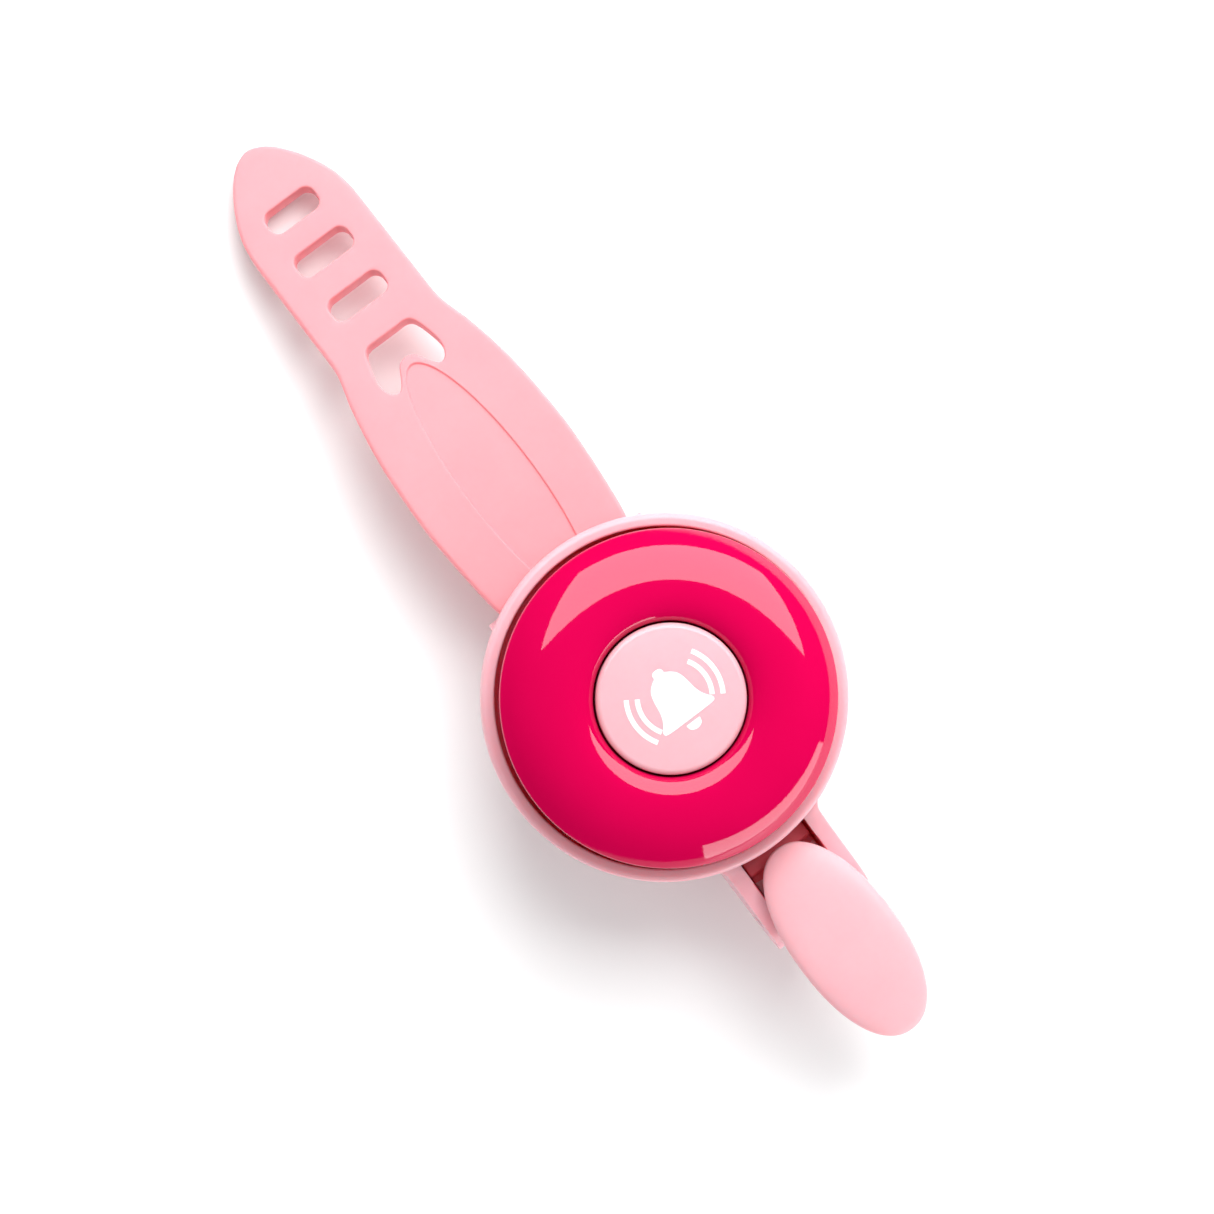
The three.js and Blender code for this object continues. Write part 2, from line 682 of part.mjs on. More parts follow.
const hammerMiddleX = leafX - leafThickness / 2;
const hammerHalf = [
  [hammerRadius, 0.7],
  [hammerRadius * 0.82, hammerHalfHeight * 0.7],
  [hammerRadius * 0.5, hammerHalfHeight - 0.05],
  [0, hammerHalfHeight],
];
let hammer = turned([...hammerHalf.map(([r, z]) => [r, -z]).reverse(), ...hammerHalf], 28);
hammer = hammer.translate([hammerMiddleX, 0, hammerZ]);
hammer = hammer.subtract(box(leafX - leafThickness - pinGap, leafX + pinGap,
  -leafHalfWidth - pinGap, leafHalfWidth + pinGap, hammerZ - 4, leafTopZ + pinGap));
place("hammer_head", hammer, 0xb8924a, 0.3, 1);

// ---- strap ----

// angle at which the tip of the strap comes down to the level of the lands
const strapMiddleZ = strapPinZ + strapEyeRadius - strapThickness / 2;
function strapPoint(s, droop) {
  const radius = strapArc / droop;
  const bent = Math.min(Math.max(s, 0), strapArc);
  const angle = bent / radius;
  const rest = s - bent;
  return {
    x: strapStartX - radius * Math.sin(angle) - rest * Math.cos(angle),
    z: strapMiddleZ - radius * (1 - Math.cos(angle)) - rest * Math.sin(angle),
    angle,
  };
}
let droopLow = 0.01;
let droopHigh = 0.8;
for (let i = 0; i < 40; i++) {
  const tryDroop = (droopLow + droopHigh) / 2;
  const tip = strapPoint(strapLength, tryDroop);
  const under = tip.z - (strapThickness / 2) * Math.cos(tip.angle);
  if (under > landZ + 0.06) {
    droopLow = tryDroop;
  } else {
    droopHigh = tryDroop;
  }
}
const strapDroop = droopLow;

const wide = strapHalfWide;
const narrow = strapHalfNarrow;
const wideEndS = strapLength - 33.8; // where the wide part begins to narrow
const edgePoints = [
  [-2.2, wide * strapRootShare],
  [0.03 * wideEndS, wide * 0.885],
  [0.1 * wideEndS, wide * 0.92],
  [0.186 * wideEndS, wide * 0.948],
  [0.31 * wideEndS, wide * 0.979],
  [0.465 * wideEndS, wide],
  [0.62 * wideEndS, wide * 0.986],
  [0.75 * wideEndS, wide * 0.959],
  [0.873 * wideEndS, wide * 0.909],
  [wideEndS, wide * 0.834],
  [strapLength - 30.7, narrow * 1.06],
  [strapLength - 28.5, narrow * 1.01],
  [strapLength - 23.1, narrow * 1.004],
  [strapLength - 12.8, narrow * 0.995],
  [strapLength - 10.7, narrow * 0.976],
  [strapLength - 8.6, narrow * 0.923],
  [strapLength - 6.4, narrow * 0.81],
  [strapLength - 4.2, narrow * 0.655],
  [strapLength - 2.1, narrow * 0.455],
  [strapLength - 0.85, narrow * 0.28],
  [strapLength - 0.2, narrow * 0.12],
];
const edgeCurve = new THREE.SplineCurve(edgePoints.map(([s, w]) => new THREE.Vector2(s, w)));
const edge = edgeCurve.getPoints(34).map((p) => [p.x, p.y]);
const outline = [...edge, [strapLength, 0], ...edge.map(([s, w]) => [s, -w]).reverse()];
outline.reverse();
const strapShape = shapeOf(outline);
slotPlaces.forEach((s, i) => {
  const reach = i === 0 ? slotHalfWidth - 0.35 : slotHalfWidth; // the one at the tip is narrower
  strapShape.holes.push(roundedBox(s - slotLength / 2, s + slotLength / 2, -reach, reach, 1.25));
});
// the fourth opening is a window with the leaf's rounded nose running into it
const windowHalf = [
  [windowFarS, 0],
  [windowFarS, 2.6],
  [windowFarS - 0.35, 3.35],
  [windowFarS - 1.2, 3.8],
  [windowFarS - 2.6, 4.2],
  [windowFarS - 4.4, 4.52],
  [windowFarS - 5.6, 4.4],
  [windowFarS - 6.5, 3.95],
  [windowFarS - 6.9, 3.3],
  [windowFarS - 6.6, 2.7],
  [windowFarS - 5.6, 2.0],
  [windowFarS - 4.4, 1.3],
  [windowFarS - 3.8, 0.5],
];
const windowLoop = [...windowHalf, ...windowHalf.slice(1).map(([s, y]) => [s, -y]).reverse()];
strapShape.holes.push(new THREE.Path(windowLoop.map(([s, y]) => new THREE.Vector2(s, y))));
const half = strapThickness / 2;
let strap = slab(strapShape, -half, half, 0.45, 3);
const relief = new THREE.Shape();
relief.absellipse(leafReliefS, 0, leafReliefLength, leafReliefHalf, 0, 2 * Math.PI, false);
strap = strap.subtract(slab(relief, half - leafReliefDepth, half + 1, 0, 14));
strap = strap.refineToLength(8);
strap = strap.warp((p) => {
  const at = strapPoint(p[0], strapDroop);
  const lift = p[2];
  p[0] = at.x - lift * Math.sin(at.angle);
  p[1] = -p[1];
  p[2] = at.z + lift * Math.cos(at.angle);
});
// the eye round its pin
strap = strap.intersect(box(-200, strapPinX, -20, 20, -20, 20));
strap = strap.add(rodY(strapPinX, strapPinZ, -strapEyeHalf, strapEyeHalf, strapEyeRadius, 36));
strap = strap.subtract(rodY(strapPinX, strapPinZ, -14, 14, strapPinRadius + pinGap, 28));
place("strap", strap, 0xffc3cb, 0.6);

export default group;
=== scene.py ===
import bpy
import bmesh
import math
from mathutils import Matrix, Vector, geometry


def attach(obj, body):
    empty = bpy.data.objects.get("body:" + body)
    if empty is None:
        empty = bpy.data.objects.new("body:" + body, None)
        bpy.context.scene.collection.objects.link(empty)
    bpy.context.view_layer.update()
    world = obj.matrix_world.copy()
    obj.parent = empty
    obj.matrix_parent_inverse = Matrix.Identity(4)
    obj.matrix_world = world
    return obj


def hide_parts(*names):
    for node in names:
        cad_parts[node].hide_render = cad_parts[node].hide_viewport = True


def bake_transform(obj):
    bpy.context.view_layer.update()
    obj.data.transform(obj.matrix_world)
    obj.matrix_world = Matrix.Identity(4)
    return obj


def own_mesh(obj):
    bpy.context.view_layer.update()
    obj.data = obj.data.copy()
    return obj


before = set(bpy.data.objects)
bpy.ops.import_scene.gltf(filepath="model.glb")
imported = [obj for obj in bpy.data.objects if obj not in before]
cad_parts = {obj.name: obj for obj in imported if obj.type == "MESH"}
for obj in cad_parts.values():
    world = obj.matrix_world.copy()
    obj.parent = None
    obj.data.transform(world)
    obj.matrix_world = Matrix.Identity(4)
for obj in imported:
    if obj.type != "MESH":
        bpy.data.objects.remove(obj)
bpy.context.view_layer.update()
mm = 0.001
weldDistance = 0.002 * mm  # closer points than this are one point
flatEdge = 1e-8  # metres; shorter edges are dropped
scene = bpy.context.scene
print("frame loaded")


# small helpers for meshes; sizes are in millimetres
def linkMesh(name, verts, faces):
    mesh = bpy.data.meshes.new(name)
    mesh.from_pydata([[c * mm for c in v] for v in verts], [], faces)
    mesh.update()
    obj = bpy.data.objects.new(name, mesh)
    scene.collection.objects.link(obj)
    return obj


def tidy(obj):
    # joins doubled points and turns every face outward
    work = bmesh.new()
    work.from_mesh(obj.data)
    bmesh.ops.remove_doubles(work, verts=work.verts, dist=weldDistance)
    bmesh.ops.dissolve_degenerate(work, edges=work.edges, dist=flatEdge)
    bmesh.ops.recalc_face_normals(work, faces=work.faces)
    work.to_mesh(obj.data)
    work.free()
    return obj


def shade(obj, angle=32):
    obj.data.polygons.foreach_set("use_smooth", [True] * len(obj.data.polygons))
    obj.data.set_sharp_from_angle(angle=math.radians(angle))
    return obj


def bakeModifiers(obj):
    graph = bpy.context.evaluated_depsgraph_get()
    mesh = bpy.data.meshes.new_from_object(obj.evaluated_get(graph))
    mesh.name = obj.name
    obj.modifiers.clear()
    obj.data = mesh
    return obj


def drop(obj):
    bpy.data.objects.remove(obj, do_unlink=True)


def combine(target, other, how="UNION"):
    step = target.modifiers.new("combine", "BOOLEAN")
    step.operation = how
    step.solver = "EXACT"
    step.object = other
    bakeModifiers(target)
    drop(other)
    return target


def soften(obj, width, segments=3, angle=38):
    # rounds every edge that turns by more than the angle
    step = obj.modifiers.new("soften", "BEVEL")
    step.width = width * mm
    step.segments = segments
    step.limit_method = "ANGLE"
    step.angle_limit = math.radians(angle)
    step.use_clamp_overlap = True
    step.harden_normals = False
    return bakeModifiers(obj)


def filleted(points, steps=6):
    # a loop of (a, b, corner radius) becomes a loop of (a, b)
    loop = []
    for i, (a, b, r) in enumerate(points):
        here = Vector((a, b))
        back = Vector(points[i - 1][:2]) - here
        ahead = Vector(points[(i + 1) % len(points)][:2]) - here
        turn = back.angle(ahead)
        if r <= 0 or turn > math.pi - 0.01:
            loop.append((a, b))
            continue
        reach = min(r / math.tan(turn / 2), 0.495 * back.length, 0.495 * ahead.length)
        radius = reach * math.tan(turn / 2)
        back.normalize()
        ahead.normalize()
        centre = here + (back + ahead).normalized() * (radius / math.sin(turn / 2))
        p = here + back * reach - centre
        q = here + ahead * reach - centre
        start = math.atan2(p.y, p.x)
        sweep = (math.atan2(q.y, q.x) - start + math.pi) % (2 * math.pi) - math.pi
        for k in range(steps + 1):
            at = start + sweep * k / steps
            loop.append((centre.x + radius * math.cos(at), centre.y + radius * math.sin(at)))
    return loop


def arc(ca, cb, radius, start, end, steps):
    points = []
    for k in range(steps + 1):
        at = math.radians(start + (end - start) * k / steps)
        points.append((ca + radius * math.cos(at), cb + radius * math.sin(at)))
    return points


def loopArea(loop):
    return sum(a[0] * b[1] - b[0] * a[1] for a, b in zip(loop, loop[1:] + loop[:1])) / 2


def nearLoop(p, loop, margin):
    x, y = p
    for (ax, ay), (bx, by) in zip(loop, loop[1:] + loop[:1]):
        dx, dy = bx - ax, by - ay
        along = ((x - ax) * dx + (y - ay) * dy) / max(1e-12, dx * dx + dy * dy)
        t = max(0.0, min(1.0, along))
        if math.hypot(ax + dx * t - x, ay + dy * t - y) < margin:
            return True
    return False


def insideLoop(p, loop, margin=0.0):
    # whether a point lies in a loop, and farther from its line than the margin
    if margin > 0 and nearLoop(p, loop, margin):
        return False
    x, y = p
    inside = False
    for (ax, ay), (bx, by) in zip(loop, loop[1:] + loop[:1]):
        if (ay > y) != (by > y) and x < (bx - ax) * (y - ay) / (by - ay) + ax:
            inside = not inside
    return inside


def trisInside(flat, tris, outer, holes=()):
    # the triangles whose middles lie in the outer loop and in none of the holes
    keep = []
    for t in tris:
        middle = (sum(flat[i].x for i in t) / 3, sum(flat[i].y for i in t) / 3)
        if insideLoop(middle, outer) and not any(insideLoop(middle, h) for h in holes):
            keep.append(tuple(t))
    return keep


def inset(loop, distance):
    # moves a loop inward by the distance; a negative distance moves it outward
    side = 1 if loopArea(loop) > 0 else -1
    moved = []
    for i, (a, b) in enumerate(loop):
        before = Vector(loop[i - 1])
        after = Vector(loop[(i + 1) % len(loop)])
        here = Vector((a, b))
        first = (here - before).normalized()
        second = (after - here).normalized()
        along = (first + second).normalized()
        normal = Vector((-along.y, along.x)) * side
        stretch = 1 / max(0.5, math.sqrt(max(0.0, (1 + first.dot(second)) / 2)))
        moved.append((a + normal.x * distance * stretch, b + normal.y * distance * stretch))
    return moved


def turned(name, profile, steps=160):
    # a profile of (radius, height); it closes on itself unless it starts on the axis
    onAxis = profile[0][0] < 1e-6
    verts, faces, rings = [], [], []
    for r, z in profile:
        if r < 1e-6:
            rings.append([len(verts)])
            verts.append((0, 0, z))
            continue
        rings.append(list(range(len(verts), len(verts) + steps)))
        for k in range(steps):
            at = 2 * math.pi * k / steps
            verts.append((r * math.cos(at), r * math.sin(at), z))
    pairs = list(zip(rings, rings[1:]))
    if not onAxis:
        pairs.append((rings[-1], rings[0]))
    for low, high in pairs:
        for k in range(steps):
            n = (k + 1) % steps
            if len(low) == 1:
                faces.append((low[0], high[n], high[k]))
            elif len(high) == 1:
                faces.append((low[k], low[n], high[0]))
            else:
                faces.append((low[k], low[n], high[n], high[k]))
    return tidy(linkMesh(name, verts, faces))


def prism(name, loop, low, high, rim=0.0, rimSteps=3, plane="XY"):
    # a loop given thickness, with both rims rounded
    rows = []
    if rim > 0:
        for k in range(rimSteps + 1):
            at = math.pi / 2 * k / rimSteps
            rows.append((rim * (1 - math.sin(at)), low + rim * (1 - math.cos(at))))
        rows += [(d, low + high - z) for d, z in reversed(rows)]
    else:
        rows = [(0, low), (0, high)]
    verts, faces = [], []
    count = len(loop)
    for distance, z in rows:
        for a, b in (inset(loop, distance) if distance > 1e-9 else loop):
            verts.append((a, b, z) if plane == "XY" else (a, z, b))
    for row in range(len(rows) - 1):
        for k in range(count):
            n = (k + 1) % count
            base = row * count
            faces.append((base + k, base + n, base + count + n, base + count + k))
    faces.append(tuple(range(count)))
    faces.append(tuple(range(len(verts) - count, len(verts))))
    return tidy(linkMesh(name, verts, faces))


def roundedRect(x0, x1, y0, y1, r, steps=8):
    return filleted([(x0, y0, r), (x1, y0, r), (x1, y1, r), (x0, y1, r)], steps)


def rod(name, radius, low, high, centre=(0, 0), axis="Z", steps=64, chamfer=0.0):
    c = chamfer
    profile = [(0, low), (radius, low), (radius, high), (0, high)]
    if c > 0:
        profile = [(0, low), (radius - c, low), (radius, low + c),
                   (radius, high - c), (radius - c, high), (0, high)]
    obj = turned(name, profile, steps)
    if axis == "Y":
        # the profile's height runs along Y, and its centre is (x, z)
        obj.data.transform(Matrix.Rotation(math.radians(-90), 4, "X"))
        obj.data.transform(Matrix.Translation((centre[0] * mm, 0, centre[1] * mm)))
    else:
        obj.data.transform(Matrix.Translation((centre[0] * mm, centre[1] * mm, 0)))
    return obj


def cutShape(target, name, loop, low, high, plane="XZ"):
    return combine(target, prism(name, loop, low, high, plane=plane), "DIFFERENCE")


def cutBore(target, radius, low, high, centre=(0, 0), axis="Z", steps=32):
    return combine(target, rod("bore", radius, low, high, centre, axis, steps), "DIFFERENCE")


def finishPiece(obj, body, material, nodes, angle=32):
    tidy(obj)
    shade(obj, angle)
    obj.data.materials.clear()
    obj.data.materials.append(material)
    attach(obj, body)
    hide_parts(*nodes)
    print("piece", obj.name, len(obj.data.polygons), "faces")
    return obj


# materials; colours are given as display values from 0 to 255
def toLinear(*channels):
    values = []
    for c in channels:
        c = c / 255
        values.append(c / 12.92 if c <= 0.04045 else ((c + 0.055) / 1.055) ** 2.4)
    return tuple(values) + (1.0,)


def startMaterial(name):
    material = bpy.data.materials.new(name)
    material.use_nodes = True
    nodes = material.node_tree.nodes
    return material, nodes, material.node_tree.links, nodes["Principled BSDF"]


def objectNoise(nodes, links, scale, detail):
    where = nodes.new("ShaderNodeTexCoord")
    grain = nodes.new("ShaderNodeTexNoise")
    grain.inputs["Scale"].default_value = scale
    grain.inputs["Detail"].default_value = detail
    links.new(where.outputs["Object"], grain.inputs["Vector"])
    return grain


def tintBy(nodes, links, source, low, high, target):
    ramp = nodes.new("ShaderNodeValToRGB")
    ramp.color_ramp.elements[0].position = 0.3
    ramp.color_ramp.elements[1].position = 0.7
    ramp.color_ramp.elements[0].color = low
    ramp.color_ramp.elements[1].color = high
    links.new(source, ramp.inputs["Fac"])
    links.new(ramp.outputs["Color"], target)


def roughBy(nodes, links, source, low, high, shader):
    spread = nodes.new("ShaderNodeMapRange")
    spread.inputs["To Min"].default_value = low
    spread.inputs["To Max"].default_value = high
    links.new(source, spread.inputs["Value"])
    links.new(spread.outputs["Result"], shader.inputs["Roughness"])


def bumpBy(nodes, links, source, height, shader, socket="Normal"):
    bump = nodes.new("ShaderNodeBump")
    bump.inputs["Strength"].default_value = 1.0
    bump.inputs["Distance"].default_value = height * mm
    links.new(source, bump.inputs["Height"])
    links.new(bump.outputs["Normal"], shader.inputs[socket])


def mouldedPlastic(name, light, dark, roughness, grain, sub=0.55):
    material, nodes, links, shader = startMaterial(name)
    cloud = objectNoise(nodes, links, 90, 4)
    tintBy(nodes, links, cloud.outputs["Fac"], dark, light, shader.inputs["Base Color"])
    fine = objectNoise(nodes, links, 2600, 2)
    roughBy(nodes, links, fine.outputs["Fac"], roughness - 0.05, roughness + 0.06, shader)
    bumpBy(nodes, links, fine.outputs["Fac"], grain, shader)
    shader.inputs["Subsurface Weight"].default_value = sub
    shader.inputs["Subsurface Radius"].default_value = (1.0, 0.28, 0.24)
    shader.inputs["Subsurface Scale"].default_value = 0.0022
    shader.inputs["IOR"].default_value = 1.47
    return material


def paintShadeInside(material, inner, reach, heights, channel=None):
    # painted shade: a deeper, darker red on the walls within a reach of the axis, and in the lever's
    # channel if it is given, standing in for the shade in these hollows
    nodes, links = material.node_tree.nodes, material.node_tree.links
    shader = nodes["Principled BSDF"]
    plain = shader.inputs["Base Color"].links[0].from_socket
    where = nodes.new("ShaderNodeTexCoord")
    split = nodes.new("ShaderNodeSeparateXYZ")
    links.new(where.outputs["Object"], split.inputs["Vector"])

    def compute(kind, first, second):
        step = nodes.new("ShaderNodeMath")
        step.operation = kind
        for socket, value in zip(step.inputs, (first, second)):
            if isinstance(value, (int, float)):
                socket.default_value = value
            else:
                links.new(value, socket)
        return step.outputs["Value"]

    x, y, z = split.outputs["X"], split.outputs["Y"], split.outputs["Z"]

    def between(value, low, high):
        return compute("MULTIPLY", compute("GREATER_THAN", value, low * mm),
                       compute("LESS_THAN", value, high * mm))

    away = compute("SQRT", compute("ADD", compute("MULTIPLY", x, x), compute("MULTIPLY", y, y)), 0.0)
    inside = compute("MULTIPLY", between(away, 0, reach), between(z, *heights))
    if channel:
        halfWidth, start, low, high = channel
        shadedChannel = compute("MULTIPLY", between(y, -halfWidth, halfWidth), between(z, low, high))
        shadedChannel = compute("MULTIPLY", shadedChannel, compute("GREATER_THAN", x, start * mm))
        inside = compute("MAXIMUM", inside, shadedChannel)
    # mixes the painted shade colour in where the mask is set
    shadeBlend = nodes.new("ShaderNodeMix")
    shadeBlend.data_type = "RGBA"
    links.new(inside, shadeBlend.inputs["Factor"])
    links.new(plain, shadeBlend.inputs["A"])
    shadeBlend.inputs["B"].default_value = inner
    links.new(shadeBlend.outputs["Result"], shader.inputs["Base Color"])


def softSilicone(name, light, dark, roughness, grain):
    material, nodes, links, shader = startMaterial(name)
    cloud = objectNoise(nodes, links, 60, 5)
    tintBy(nodes, links, cloud.outputs["Fac"], dark, light, shader.inputs["Base Color"])
    fine = objectNoise(nodes, links, 1900, 3)
    roughBy(nodes, links, fine.outputs["Fac"], roughness - 0.06, roughness + 0.06, shader)
    bumpBy(nodes, links, fine.outputs["Fac"], grain, shader)
    shader.inputs["Subsurface Weight"].default_value = 0.55
    shader.inputs["Subsurface Radius"].default_value = (1.0, 0.36, 0.32)
    shader.inputs["Subsurface Scale"].default_value = 0.002
    shader.inputs["IOR"].default_value = 1.41
    shader.inputs["Sheen Weight"].default_value = 0.12
    shader.inputs["Sheen Roughness"].default_value = 0.4
    return material


def glossPaint(name, light, dark):
    material, nodes, links, shader = startMaterial(name)
    cloud = objectNoise(nodes, links, 70, 3)
    tintBy(nodes, links, cloud.outputs["Fac"], dark, light, shader.inputs["Base Color"])
    peel = objectNoise(nodes, links, 650, 2)
    shader.inputs["Roughness"].default_value = 0.32
    shader.inputs["Specular IOR Level"].default_value = 0.0
    shader.inputs["Coat Weight"].default_value = 1.0
    shader.inputs["Coat Roughness"].default_value = 0.05
    shader.inputs["Coat IOR"].default_value = 1.5
    bumpBy(nodes, links, peel.outputs["Fac"], 0.005, shader, "Coat Normal")
    return material


def workedMetal(name, light, dark, roughness):
    material, nodes, links, shader = startMaterial(name)
    cloud = objectNoise(nodes, links, 900, 4)
    tintBy(nodes, links, cloud.outputs["Fac"], dark, light, shader.inputs["Base Color"])
    roughBy(nodes, links, cloud.outputs["Fac"], roughness - 0.06, roughness + 0.1, shader)
    bumpBy(nodes, links, cloud.outputs["Fac"], 0.004, shader)
    shader.inputs["Metallic"].default_value = 1.0
    return material


def plainRubber(name, light, dark, roughness):
    material, nodes, links, shader = startMaterial(name)
    cloud = objectNoise(nodes, links, 300, 4)
    tintBy(nodes, links, cloud.outputs["Fac"], dark, light, shader.inputs["Base Color"])
    fine = objectNoise(nodes, links, 2200, 3)
    roughBy(nodes, links, fine.outputs["Fac"], roughness - 0.08, roughness + 0.08, shader)
    bumpBy(nodes, links, fine.outputs["Fac"], 0.01, shader)
    return material


# the lighter and the darker shade of each finish; the inside entry is the painted shade of the hollows
tints = {
    "cup": ((231, 175, 184), (228, 170, 180)),
    "lever": ((228, 174, 181), (225, 169, 177)),
    "cover": ((226, 172, 178), (222, 166, 173)),
    "cap": ((231, 176, 184), (228, 172, 181)),
    "strap": ((238, 154, 161), (234, 148, 156)),
    "pad": ((214, 118, 134), (204, 106, 124)),
    "dome": ((201, 3, 73), (197, 2, 70)),
    "ink": ((246, 243, 243), (240, 236, 237)),
    "steel": ((205, 207, 210), (182, 184, 188)),
    "spring": ((178, 180, 186), (150, 152, 158)),
    "brass": ((205, 165, 88), (176, 136, 66)),
    "rubber": ((66, 64, 66), (48, 46, 48)),
    "nylon": ((228, 224, 222), (218, 214, 212)),
    "inside": ((237, 101, 115),),  # painted shade for the hollows, one colour only
}


def shades(finish):
    return [toLinear(*channels) for channels in tints[finish]]


cupPink = mouldedPlastic("cup_pink_plastic", *shades("cup"), roughness=0.36, grain=0.003)
leverPink = mouldedPlastic("lever_pink_plastic", *shades("lever"), roughness=0.42, grain=0.004)
coverPink = mouldedPlastic("cover_pink_plastic", *shades("cover"), roughness=0.46, grain=0.005)
capPink = mouldedPlastic("cap_pink_plastic", *shades("cap"), roughness=0.24, grain=0.0015)
strapPink = softSilicone("strap_pink_silicone", *shades("strap"), roughness=0.56, grain=0.004)
padPink = softSilicone("pad_rose_silicone", *shades("pad"), roughness=0.62, grain=0.006)
domePaint = glossPaint("dome_magenta_paint", *shades("dome"))
capInk = mouldedPlastic("cap_white_ink", *shades("ink"), roughness=0.3, grain=0.001, sub=0.0)
pinSteel = workedMetal("pin_steel", *shades("steel"), roughness=0.26)
springSteel = workedMetal("spring_steel", *shades("spring"), roughness=0.28)
strikerBrass = workedMetal("striker_brass", *shades("brass"), roughness=0.3)
ringRubber = plainRubber("ring_rubber", *shades("rubber"), roughness=0.72)
retainerNylon = mouldedPlastic("retainer_nylon", *shades("nylon"), roughness=0.5, grain=0.004)
# painted shade: the cup's inner wall and channel, and the lever's arm in the channel, turn a deeper red
# where shade falls
paintShadeInside(cupPink, *shades("inside"), reach=20.5, heights=(8.0, 10.9), channel=(4.85, 18.0, 0.05, 8.0))
paintShadeInside(leverPink, *shades("inside"), reach=25.4, heights=(2.0, 6.6))
print("materials made")

# camera, floor and light

view = {
    "distance": 500.0,
    "aim": (-12.83, 0.86, 11.5),
    "across": (0.6010, 0.7993),  # the way along the floor that the view's right side points
    "lean": 4.3,  # degrees that the camera stands off the vertical
    "lens": 124.6,
}


def placeCamera(v):
    lean = math.radians(v["lean"])
    right = Vector((v["across"][0], v["across"][1], 0)).normalized()
    up = Vector((-right.y, right.x, 0))
    ahead = right * math.sin(lean) - Vector((0, 0, 1)) * math.cos(lean)
    side = ahead.cross(up)
    data = bpy.data.cameras.new("view_camera")
    data.lens = v["lens"]
    data.sensor_width = 36.0
    data.clip_start = 0.01
    data.clip_end = 20.0
    camera = bpy.data.objects.new("view_camera", data)
    scene.collection.objects.link(camera)
    turn = Matrix((side, up, -ahead)).transposed().to_4x4()
    spot = (Vector(v["aim"]) - ahead * v["distance"]) * mm
    camera.matrix_world = Matrix.Translation(spot) @ turn
    bpy.context.scene.camera = camera


placeCamera(view)

studio = {"floorZ": -8.0, "floorGap": 0.02, "floorSize": 1400.0, "worldLevel": 0.65}

# spot and aim: how far to the view's right, to its top, and how high; the roll is in radians
lamps = {
    "key_box": {"spot": (55, 334, 271), "aim": (32, 196, -44), "size": (824, 449), "power": 6.0,
                "roll": 0.16},
    "main_box": {"spot": (72, 409, 468), "aim": (0, 0, 8), "size": (520, 520), "power": 5.6, "roll": 0.0},
    "low_window": {"spot": (432, -268, 64), "aim": (418, -169, 64), "size": (680, 132), "power": 1.3,
                   "roll": 0.0},
}


def makeFloor(s):
    half = s["floorSize"] / 2
    z = s["floorZ"] - s["floorGap"]
    verts = [(-half, -half, z), (half, -half, z), (half, half, z), (-half, half, z)]
    floor = linkMesh("studio_floor", verts, [(0, 1, 2, 3)])
    material, nodes, links, shader = startMaterial("floor_white")
    cloud = objectNoise(nodes, links, 20, 2)
    darker, lighter = (0.90, 0.915, 0.915, 1), (0.915, 0.93, 0.93, 1)
    tintBy(nodes, links, cloud.outputs["Fac"], darker, lighter, shader.inputs["Base Color"])
    shader.inputs["Roughness"].default_value = 0.8
    floor.data.materials.append(material)


def fromView(right, up, height):
    # a place by how far it stands to the view's right and top, and its height
    rightWay = Vector((view["across"][0], view["across"][1], 0)).normalized()
    upWay = Vector((-rightWay.y, rightWay.x, 0))
    return rightWay * right + upWay * up + Vector((0, 0, height))


def areaLight(name):
    lamp = lamps[name]
    data = bpy.data.lights.new(name, "AREA")
    data.shape = "RECTANGLE"
    data.size = lamp["size"][0] * mm
    data.size_y = lamp["size"][1] * mm
    data.energy = lamp["power"]
    spot, aim = fromView(*lamp["spot"]), fromView(*lamp["aim"])
    light = bpy.data.objects.new(name, data)
    light.location = spot * mm
    turn = (spot - aim).to_track_quat("Z", "Y").to_matrix() @ Matrix.Rotation(lamp["roll"], 3, "Z")
    light.rotation_euler = turn.to_euler()
    scene.collection.objects.link(light)
    return light


makeFloor(studio)
# the key box is only seen as a reflection, and the main box only lights
keyBox = areaLight("key_box")
keyBox.visible_diffuse = False
mainBox = areaLight("main_box")
mainBox.visible_glossy = False
areaLight("low_window")
scene.world = bpy.data.worlds.new("studio_world")
scene.world.use_nodes = True
sky = scene.world.node_tree.nodes["Background"]
sky.inputs["Color"].default_value = (1.0, 1.0, 1.0, 1.0)
sky.inputs["Strength"].default_value = studio["worldLevel"]
scene.world.cycles_visibility.glossy = False
scene.view_settings.view_transform = "Standard"
scene.view_settings.look = "None"
scene.view_settings.exposure = 0.0
print("camera and studio made")

# dome

dome = {
    "radius": 20.1, "wall": 1.1, "rimZ": 11.0, "crownZ": 20.0, "crownRadius": 12.5, "shoulder": 9.5,
    "steepest": 44.3, "edgeRound": 0.45, "recessRadius": 9.2, "recessDrop": 1.75, "seatZ": 14.4,
    "holeRadius": 3.4, "lipRound": 0.28,
}


def domeSkin(d, depth, cornerRound):
    # the line from the side wall over the shoulder into the recess, a given depth under the outside
    low = d["crownZ"] - d["shoulder"]
    over = arc(d["crownRadius"], low, d["shoulder"] - depth, 90 - d["steepest"], 90, 44)
    r, z = over[0]
    side = d["radius"] - depth
    corner = z - (side - r) * math.tan(math.radians(d["steepest"]))
    line = filleted([(side, d["rimZ"] + 3, 0), (side, corner, cornerRound), (r, z, 0)], 8)[1:-1] + over
    inward = d["crownRadius"] - d["recessRadius"] - depth
    steps = 28
    for k in range(1, steps + 1):
        at = math.pi / 2 * k / steps
        line.append((d["crownRadius"] - inward * math.sin(at),
                     d["crownZ"] - depth - d["recessDrop"] * (1 - math.cos(at))))
    return line


